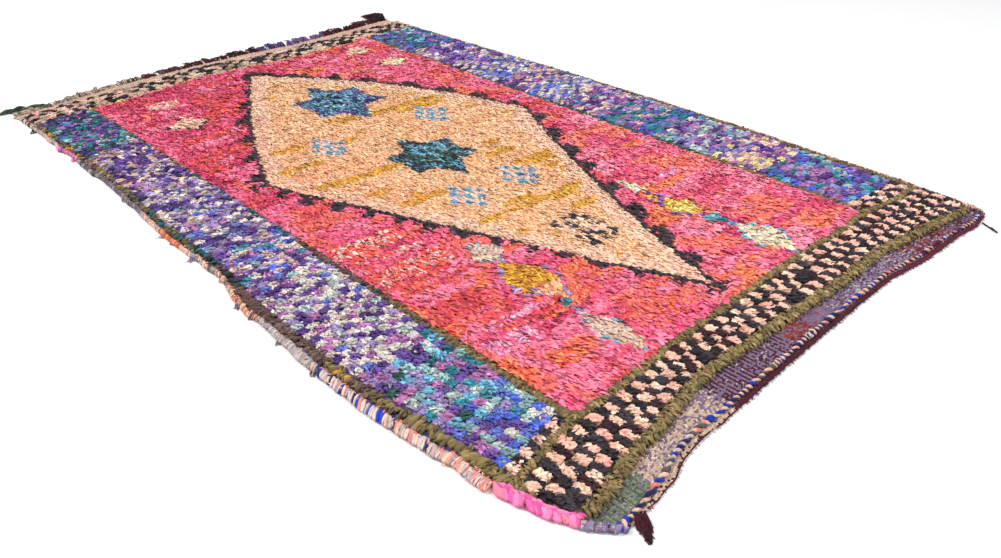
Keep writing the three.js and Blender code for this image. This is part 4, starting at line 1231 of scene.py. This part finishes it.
def near_cord():
    """The end of the near weave: a dark laid-in cord, a thin thread and frayed edge towards the left."""
    t = Tubes()
    x = np.arange(-310, 738, 4.0)
    run = np.arange(len(x)) * 4.0
    for strand in range(3):
        a = run / 21.0 * 2 * math.pi + strand * 2.1
        mid = at(NEAR_EDGE, x) + 6.0 + wander(len(x), 12, 0.8)
        path = np.stack([x, mid + 2.0 * np.cos(a), 4.0 + 1.3 * np.sin(a)], 1) + rng.normal(0, 0.35, (len(x), 3))
        thin = np.clip((x + 316) / 60, 0.35, 1) * np.interp(x, [60, 300], [1.0, 0.46])
        tone = np.where((x > 240)[:, None], linear(DYE["wine3"]) * 1.25, linear(DYE["maroon"])) * np.exp(wander(len(x), 10, 0.22))[:, None]
        t.add(tube_rings(path, 2.3 * thin * np.exp(wander(len(x), 4, 0.26)), 6, 0.9), tone[:, None, :] * np.exp(rng.normal(0, 0.14, (len(x), 6, 1))))
    x = np.arange(-596, -300, 4.0)
    path = np.stack([x, at(NEAR_EDGE, x) + 3.6 + wander(len(x), 5, 1.2), 3.4 + wander(len(x), 6, 0.4)], 1)
    t.add(tube_rings(path, 1.5, 5), np.tile(linear(DYE["maroon"]), (len(x), 1, 1)))
    # frayed ends along the edge
    for _ in range(330):
        x0 = rng.uniform(-640, 735)
        y0 = at(NEAR_EDGE, x0) + rng.uniform(3, 8)
        s = np.linspace(0, 1, 4)
        d = rng.normal(0, 3.2)
        long = rng.uniform(3, 8)
        p = np.stack([x0 + d * s, y0 - long * s, np.maximum(2.6 + rng.normal(0, 0.8) - 2.0 * s ** 2, 0.7)], 1)
        dye = pick(("maroon", "wine", "corl"), (6, 3, 1)) if x0 > -300 else pick(("sand", "shell", "maroon", "beige"), (4, 2, 1.5, 3))
        t.add(tube_rings(p, 0.75 * (1 - 0.5 * s), 3), np.tile(linear(DYE[dye]), (4, 1, 1)))
    return t.build("near_end_cord", YARN, "rug", "rag_pile")


LEFT_TURNS = [  # up to y, dyes, weights, flecks, share of flecks, pitch, bulge, slant
    (-1142, ("lilac2", "heather", "grey", "lilac"), (4, 2, 1.4, 2), ("mist", "dgrey"), 0.12, 7.4, 0.32, 0.5),
    (-1000, ("pink", "pink2", "blush", "magfleck"), (6, 4, 2, 1), ("pink2", "blush"), 0.14, 10.5, 0.40, 0.8),
    (-880, ("shell", "corl", "check", "lgrey"), (4, 0.8, 2, 2.5), ("corl", "bluegrey", "blush", "grey", "navy"), 0.32, 4.6, 0.16, 0.3),
    (-545, ("shell", "corl", "blue", "navy", "lgrey", "cream"), (4, 1.0, 1.4, 1.0, 2.5, 2), ("shell", "bluegrey"), 0.10, 5.4, 0.26, 1.2),
    (-345, ("grey", "lgrey", "beige"), (5, 3, 1), ("beige", "dgrey"), 0.12, 3.8, 0.10, 0.4),
    (-180, ("shell", "brown", "corl"), (4, 2, 1), ("maroon", "corl", "brown"), 0.28, 4.6, 0.16, 0.5),
    (-80, ("shell", "brown", "grey"), (3, 2, 2), ("corl", "maroon"), 0.2, 5.4, 0.2, 0.6),
    (30, ("shell", "grey"), (3, 2), ("blue", "corl", "navy"), 0.25, 6.0, 0.2, 0.6),
    (140, ("orange", "corl"), (5, 1), (), 0.0, 5.6, 0.18, 0.4),
    (250, ("shell", "beige"), (3, 1), ("blue", "corl"), 0.2, 6.0, 0.2, 0.6),
    (680, ("dgrey", "heather", "grey"), (4, 2, 1), ("brown",), 0.1, 7.0, 0.2, 0.5),
    (800, ("pink2", "mauve", "blush"), (4, 3, 2), (), 0.0, 8.0, 0.26, 0.5),
    (985, ("beige", "grey", "sand"), (4, 2, 2), ("ochre", "brown", "mauve"), 0.22, 6.4, 0.18, 0.5),
    (1400, ("char", "bsand", "sand", "black"), (5, 3, 1, 2), ("sand", "black"), 0.20, 7.0, 0.24, 0.5)]
RIGHT_TURNS = [(-300, ("shell", "beige", "heather", "brown", "olive2", "maroon"), (4, 4, 3, 3, 2, 1.2), ("navy", "maroon", "corl", "cream"), 0.26, 7.4, 0.34, 0.8),
               (1400, ("shell", "sand", "corl", "heather", "brown", "pine"), (5, 4, 2, 2, 1.6, 0.8), ("navy", "maroon", "corl", "cream"), 0.26, 7.4, 0.30, 0.7)]


def wraps(name, side, edge, width, turns, node, slot, y0, y1):
    """Rag overcasting: slanted turns round the side cords."""
    t = Tubes()
    yy = np.linspace(y0, y1, 4000)
    run = np.concatenate([[0], np.cumsum(np.hypot(np.diff(at(edge, yy)), np.diff(yy)))])
    s = 4.0
    sides = 9
    ang = np.arange(sides) / sides * 2 * math.pi
    knots = np.arange(0, run[-1] + 80, 38.0)
    waves = rng.normal(0, 1.0, len(knots))
    while s < run[-1] - 4:
        y = np.interp(s, run, yy)
        kind = next(row for row in turns if y + rng.normal(0, 7) < row[0])
        _, dyes, weights, flecks, share, pitch, bulge, slant = kind
        step = pitch * math.exp(rng.normal(0, 0.16 + 0.3 * bulge))
        tall = bulge > 0.39
        w, h = at(width, y), 15.0 if tall else (12.4 if side < 0 else 14.0)
        off = np.interp(s, knots, waves) * (1.0 if tall else 2.3)
        taper = min(1.0, 0.45 + (s / 34.0) ** 0.6, 0.5 + ((run[-1] - s) / 30.0) ** 0.6)
        lean = slant * step * side * math.exp(rng.normal(0, 0.2))
        rings, cols = [], []
        base = linear(DYE[pick(dyes, weights)]) * math.exp(rng.normal(0, 0.13))
        swell = math.exp(rng.normal(0, 0.03 + 0.16 * bulge)) * taper
        for q, fat in ((-0.58, 1 - bulge), (-0.32, 1 - 0.12 * bulge), (0.05, 1.03), (0.34, 1 - 0.10 * bulge), (0.58, 1 - bulge)):
            sq = np.clip(s + q * step + lean * np.cos(ang), 0, run[-1])
            yq = np.interp(sq, run, yy)
            mid = at(edge, yq) - side * (w * 0.5 + 0.2 + off)
            rx, rz = 0.5 * w * (0.72 + 0.28 * fat) * min(swell, 1.12), 0.5 * h * fat * swell
            z = np.maximum(0.5 * h * (0.55 + 0.45 * taper) + rz * np.sin(ang), 0.3 + 0.5 * (1 - fat))
            rings.append(np.stack([mid + side * rx * np.cos(ang), yq, z], 1))
            # painted shade: each turn darker towards its pinched ends, where it meets the next turn
            c = np.tile(base, (sides, 1)) * (0.46 + 0.56 * fat) * np.exp(rng.normal(0, 0.10, (sides, 1)))
            if flecks:
                hit = rng.random(sides) < share
                c[hit] = linear(DYE[pick(flecks)])
            cols.append(c)
        t.add(np.array(rings) + rng.normal(0, 0.26 + 0.9 * bulge, (5, sides, 3)), np.array(cols))
        if tall and s > 30:
            # smaller turns laid inside the fat ones
            for _ in range(3):
                a = rng.uniform(-0.4, 0.4)
                m = np.linspace(-1, 1, 6)
                yk = y + rng.normal(0, 0.3 * step) + (7.0 + rng.normal(0, 1)) * m * math.cos(a)
                xk = at(edge, yk) - side * (w * 0.80 + rng.normal(0, 1.6)) + 5.5 * m * math.sin(a)
                zk = 11.6 + 2.2 * (1 - m ** 2)
                tone = linear(DYE[pick(dyes, weights)]) * math.exp(rng.normal(0, 0.14))
                t.add(tube_rings(np.stack([xk, yk, zk], 1), 3.6 * np.sqrt(np.clip(1.08 - m ** 2, 0.1, 1)), 6), np.tile(tone, (6, 1, 1)))
        s += step
    if side < 0:
        # two fat loops of the twining yarn round the near corner
        for k, (dye, dx, dy) in enumerate((("blue", 5.0, 3.0), ("shell", 14.0, 1.0), ("blue", 22.0, 4.0))):
            a = np.linspace(0, 1, 9)
            px = at(edge, -1188) + 4 + dx + 10 * a
            py = -1196 + dy + 15 * a
            t.add(tube_rings(np.stack([px, py, 5.2 + 4.2 * np.sin(a * math.pi)], 1), 4.0 * np.sqrt(np.clip(np.sin(0.2 + a * 2.74), 0.1, 1)), 6),
                  np.tile(linear(DYE[dye]), (9, 1, 1)) * np.exp(rng.normal(0, 0.1, (9, 1, 1))))
    return t.build(name, RAG, node, slot)


def loose_ends(name, side, edge, width, node, count, lo, hi, tones):
    """Ragged ends and fuzz that stand off the overcasting."""
    y = rng.uniform(lo, hi, count)
    w = at(width, y)
    r = rng.random(count)
    x = at(edge, y) - side * (2.5 + r * (w - 1))
    z = 6.4 + 4.2 * np.sqrt(np.clip(1 - (2 * r - 1) ** 2, 0, 1)) + rng.normal(0, 0.5, count)
    dye = np.array([choose(1, tones(b))[0] for b in y])
    yaw = np.radians(rng.normal(0, 60, count)) + np.where(rng.random(count) < 0.5, side * 1.2, 0)
    return joined(name, [strands(x, y, z, dye, yaw, 8.5, 3.2, 0.9, tilt=(62, 112), roll=26, value=0.14)], RAG, node)


def left_tones(y):
    return next(row for row in LEFT_TURNS if y < row[0])[1][:3]


def ends(name, node, slot, bunches, mat):
    """Cut yarn ends lying on the floor: bunches of (root, tip, spread, strands, dyes, thick, wave, rise)."""
    t = Tubes()
    for root, tip, spread, count, dyes, thick, wave, top in bunches:
        root, tip = np.array(root, float), np.array(tip, float)
        d = tip - root
        reach = np.linalg.norm(d)
        d /= reach
        ac = np.array([d[1], -d[0]])
        for _ in range(count):
            m = 6
            s = np.linspace(0, 1, m)
            w0 = rng.uniform(-0.5, 0.5)
            w1 = w0 * 0.8 + rng.normal(0, 0.22)
            lng = reach * rng.uniform(0.66, 1.0)
            bend = rng.normal(0, wave) * reach
            across = spread * (w0 + (w1 - w0) * s ** 1.4) + bend * np.sin(s * math.pi * rng.uniform(0.7, 1.6)) * s
            xy = root[None] + d[None] * (s * lng)[:, None] + ac[None] * across[:, None]
            z = thick + top * rng.random() * np.sin(np.clip(s * 1.1, 0, 1) * math.pi) + (1 - s) * 2.2 * rng.random() + 0.2
            path = np.concatenate([xy, z[:, None]], 1)
            rad = thick * (1 - 0.40 * s ** 3) * rng.uniform(0.8, 1.2)
            tone = linear(DYE[pick(dyes)]) * math.exp(rng.normal(0, 0.16))
            # painted shade: each end darker at its root, lighter towards its tip
            t.add(tube_rings(path, rad, 4), (0.82 + 0.25 * s)[:, None, None] * tone[None, None])
    return t


FRINGE = [  # x from, x to, length, lean, dyes, strands
    (-712, -600, 26, -8, ("beige", "sand", "bsand", "ggrey"), 8), (-600, -505, 34, 3, ("beige", "sand", "bsand", "brown"), 9),
    (-505, -335, 38, 7, ("beige", "sand", "bsand", "brown"), 9), (-335, -280, 44, 10, ("beige", "brown", "brown2", "sand"), 10),
    (-280, -190, 50, 12, ("brown2", "maroon", "brown", "wine"), 11), (-190, -100, 54, 12, ("maroon", "plum", "wine"), 11),
    (-100, 160, 60, 14, ("maroon", "plum", "wine3", "plum"), 11), (160, 290, 64, 16, ("purple", "deep", "lilac", "navy"), 11),
    (290, 440, 62, 18, ("lilac", "heather", "mauve", "purple"), 11), (440, 705, 66, 20, ("plum", "maroon", "plum", "wine3"), 12)]
bunches = []
for x0, x1, long, lean, dyes, count in FRINGE:
    x = x0 + 4.0
    while x < x1:
        gap = rng.uniform(9, 24)
        y = at(FAR_EDGE, x)
        L = long * rng.uniform(0.55, 1.22)
        n = max(3, round(count * gap / 19))
        bunches.append(((x, y - 4), (x + lean * rng.uniform(-0.6, 1.8), y + L), gap * 0.95, n, dyes, 1.9, 0.12, rng.uniform(6, 17)))
        x += gap
y = at(FAR_EDGE, -650)
bunches.append(((-650, y - 2), (-712, y + 12), 26, 16, ("beige", "sand", "bsand"), 2.2, 0.10, 6.0))
y = at(FAR_EDGE, 728)
bunches.append(((718, y - 3), (748, 1296), 54, 88, ("plum", "soot", "plum", "maroon"), 1.8, 0.12, 21.5))
fringe_tubes = ends("cut_warp_ends", "fringe_far", "warp_ends", bunches, YARN)
# the long green end at the far left corner: a fat bunch of plies, slack in places
y = at(FAR_EDGE, -612)
bend = np.array([[-600, y - 4], [-628, y + 16], [-672, y + 30], [-741, y + 41]], float)
s = np.linspace(0, 1, 34)
leg = np.concatenate([[0], np.cumsum(np.hypot(*np.diff(bend, axis=0).T))])
mid = np.stack([np.interp(s * leg[-1], leg, bend[:, 0]), np.interp(s * leg[-1], leg, bend[:, 1])], 1)
for k in range(5):
    a = s * rng.uniform(11, 17) + k * 1.26
    fat = np.interp(s, [0, 0.15, 0.45, 0.6, 0.85, 1], [0.8, 1.1, 0.85, 1.15, 0.9, 0.45]) * np.exp(wander(34, 4, 0.12))
    path = np.stack([mid[:, 0] + 3.0 * fat * np.cos(a), mid[:, 1] + 6.2 * fat * np.cos(a), 6.6 * fat + 3.4 * fat * np.sin(a)], 1)
    fringe_tubes.add(tube_rings(path, 3.9 * fat, 6),
                     linear(DYE[("fern", "fern2", "ggrey", "fern2", "fern")[k]])[None, None] * np.exp(rng.normal(0, 0.20, (34, 6, 1))))
fringe = fringe_tubes.build("cut_warp_ends", YARN, "fringe_far", "warp_ends")

y = at(NEAR_EDGE, -621)
tassel = ends("maroon_bunch", "corner_tassel", "maroon_ends",
              [((-618, y + 9.0), (-638, -1222), 19, 44, ("maroon", "plum", "maroon", "wine3"), 1.8, 0.09, 9.0),
               ((-634, -1212), (-652, -1236), 11, 16, ("maroon", "plum"), 1.6, 0.10, 3.0)], YARN).build(
    "maroon_bunch", YARN, "corner_tassel", "maroon_ends")


def knotted_tail():
    t = Tubes()
    a, b = np.array([699, at(NEAR_EDGE, 699) - 1.0]), np.array([674, -1240.0])
    s = np.linspace(0, 1, 22)
    for k in range(3):
        turn = s * 9 + k * 2.1
        rad = np.interp(s, [0, 0.5, 0.6, 0.72, 0.8, 1.0], [1.2, 1.2, 2.9, 2.9, 1.3, 1.9])
        base = a[None] + (b - a)[None] * s[:, None]
        path = np.stack([base[:, 0] + rad * np.cos(turn), base[:, 1] + 0.5 * rad * np.cos(turn), 2.6 + rad * 0.9 * (1 + np.sin(turn)) * 0.6], 1)
        t.add(tube_rings(path, np.interp(s, [0, 0.9, 1], [1.4, 1.4, 0.8]), 5),
              np.tile(linear(DYE[("soot", "black", "maroon")[k]]), (22, 1, 1)))
    return t.build("knotted_end", YARN, "corner_tail", "dark_ends")


def edge_tufts(name, side, edge, node, slot, spots):
    """Small loose tufts of rag that stick out of the overcasting: (y, how far out, slide, strands, dyes)."""
    rows = []
    for y, far, slide, count, dyes in spots:
        x = at(edge, y) - side * 5.0
        rows.append(((x, y), (x + side * (far + 5.0), y + slide), 11, count, dyes, 0.95, 0.20, 7.0))
    return ends(name, node, slot, rows, RAG).build(name, RAG, node, slot)


LEFT_TUFTS = [(-905, 4, -6, 5, ("shell", "beige")), (-560, 5, -6, 6, ("brown", "olive2")), (-430, 5, -10, 7, ("brown", "grey")),
              (-318, 6, -9, 7, ("brown2", "brown")), (-262, 12, -14, 10, ("dgrey", "heather")), (-150, 5, -9, 7, ("shell", "brown")),
              (-22, 13, -15, 9, ("mauve", "heather", "lav")), (70, 5, -7, 8, ("orange", "brown")), (122, 7, -12, 8, ("orange", "brown")),
              (360, 5, -9, 7, ("dgrey", "olive2")), (690, 6, -9, 8, ("pink2", "mauve")), (982, 14, -22, 10, ("char", "soot"))]
RIGHT_TUFTS = [(-1040, 8, -6, 8, ("maroon", "brown")), (-930, 10, 8, 9, ("brown", "heather")), (-842, 8, -8, 8, ("heather", "shell")), (-735, 9, 6, 8, ("olive2", "brown")),
               (-610, 8, -6, 8, ("beige", "maroon")), (-480, 9, 7, 8, ("brown", "olive2")), (-352, 8, -7, 8, ("shell", "brown")), (-205, 9, 6, 8, ("beige", "olive2")),
               (-60, 8, -6, 8, ("shell", "corl")), (92, 9, 8, 8, ("pine", "brown")), (236, 16, 4, 10, ("plum", "brown2")), (402, 8, -6, 8, ("shell", "pine")),
               (560, 9, 6, 8, ("brown", "mauve")), (742, 8, -7, 8, ("shell", "brown")), (905, 9, 6, 8, ("char", "shell"))]
tufts_left = edge_tufts("overcast_left_tufts", -1, LEFT, "selvedge_left", "rag_wrap_left", LEFT_TUFTS)
tufts_right = edge_tufts("overcast_right_tufts", 1, RIGHT, "selvedge_right", "rag_wrap_right", RIGHT_TUFTS)
tail = knotted_tail()
twine = twined_row()
cord = near_cord()
edge_left = wraps("overcast_left", -1, LEFT, LEFT_WRAP, LEFT_TURNS, "selvedge_left", "rag_wrap_left", -1199, 1086)
edge_right = wraps("overcast_right", 1, RIGHT, RIGHT_WRAP, RIGHT_TURNS, "selvedge_right", "rag_wrap_right", -1186, 1102)
fuzz_left = loose_ends("overcast_left_ends", -1, LEFT, LEFT_WRAP, "selvedge_left", 760, -1185, 1080, left_tones)
fuzz_right = loose_ends("overcast_right_ends", 1, RIGHT, RIGHT_WRAP, "selvedge_right", 1100, -1175, 1095,
                        lambda y: ("shell", "maroon", "navy", "corl", "sand", "olive2", "mauve"))

# ------------------------------------------------------------------ floor, light, camera
floor_mesh = bpy.data.meshes.new("floor")
S = 30.0
floor_mesh.from_pydata([(-S, -S, 0), (S, -S, 0), (S, S, 0), (-S, S, 0)], [], [(0, 1, 2, 3)])
floor = bpy.data.objects.new("floor", floor_mesh)
bpy.context.scene.collection.objects.link(floor)
fmat = bpy.data.materials.new("pale_floor")
fmat.use_nodes = True
fb = fmat.node_tree.nodes["Principled BSDF"]
fb.inputs["Base Color"].default_value = (0.93, 0.93, 0.93, 1)
fb.inputs["Roughness"].default_value = 0.9
fb.inputs["Specular IOR Level"].default_value = 0.0
floor.data.materials.append(fmat)

scene = bpy.context.scene
scene.view_settings.view_transform = "Standard"
scene.view_settings.look = "None"
scene.view_settings.exposure = 0.0
world = bpy.data.worlds.new("studio")
world.use_nodes = True
world.node_tree.nodes["Background"].inputs["Color"].default_value = (1, 1, 1, 1)
world.node_tree.nodes["Background"].inputs["Strength"].default_value = 0.50
scene.world = world


def area_light(name, position, target, size, power):
    data = bpy.data.lights.new(name, "AREA")
    data.shape = "RECTANGLE"
    data.size, data.size_y = size
    data.energy = power
    obj = bpy.data.objects.new(name, data)
    obj.location = position
    d = np.array(target, float) - np.array(position, float)
    obj.rotation_euler = (math.acos(-d[2] / np.linalg.norm(d)), 0, math.atan2(d[1], d[0]) - math.pi / 2)
    scene.collection.objects.link(obj)
    return obj


area_light("key", (-4.7, 4.6, 8.2), (0.1, -0.2, 0), (3.5, 3.5), 770)
area_light("fill", (0.1, -3.2, 3.0), (0, -0.9, 0), (3.0, 3.0), 82)

cam_data = bpy.data.cameras.new("camera")
cam_data.sensor_fit = "HORIZONTAL"
cam_data.sensor_width = 36.0
cam_data.lens = 36.0 * FOCAL_PX / 1001.0
cam_data.clip_end = 100.0
cam = bpy.data.objects.new("camera", cam_data)
cam.location = place(CAMERA)
cam.rotation_euler = (math.radians(90 - PITCH), 0, -math.radians(YAW))
scene.collection.objects.link(cam)
scene.camera = cam
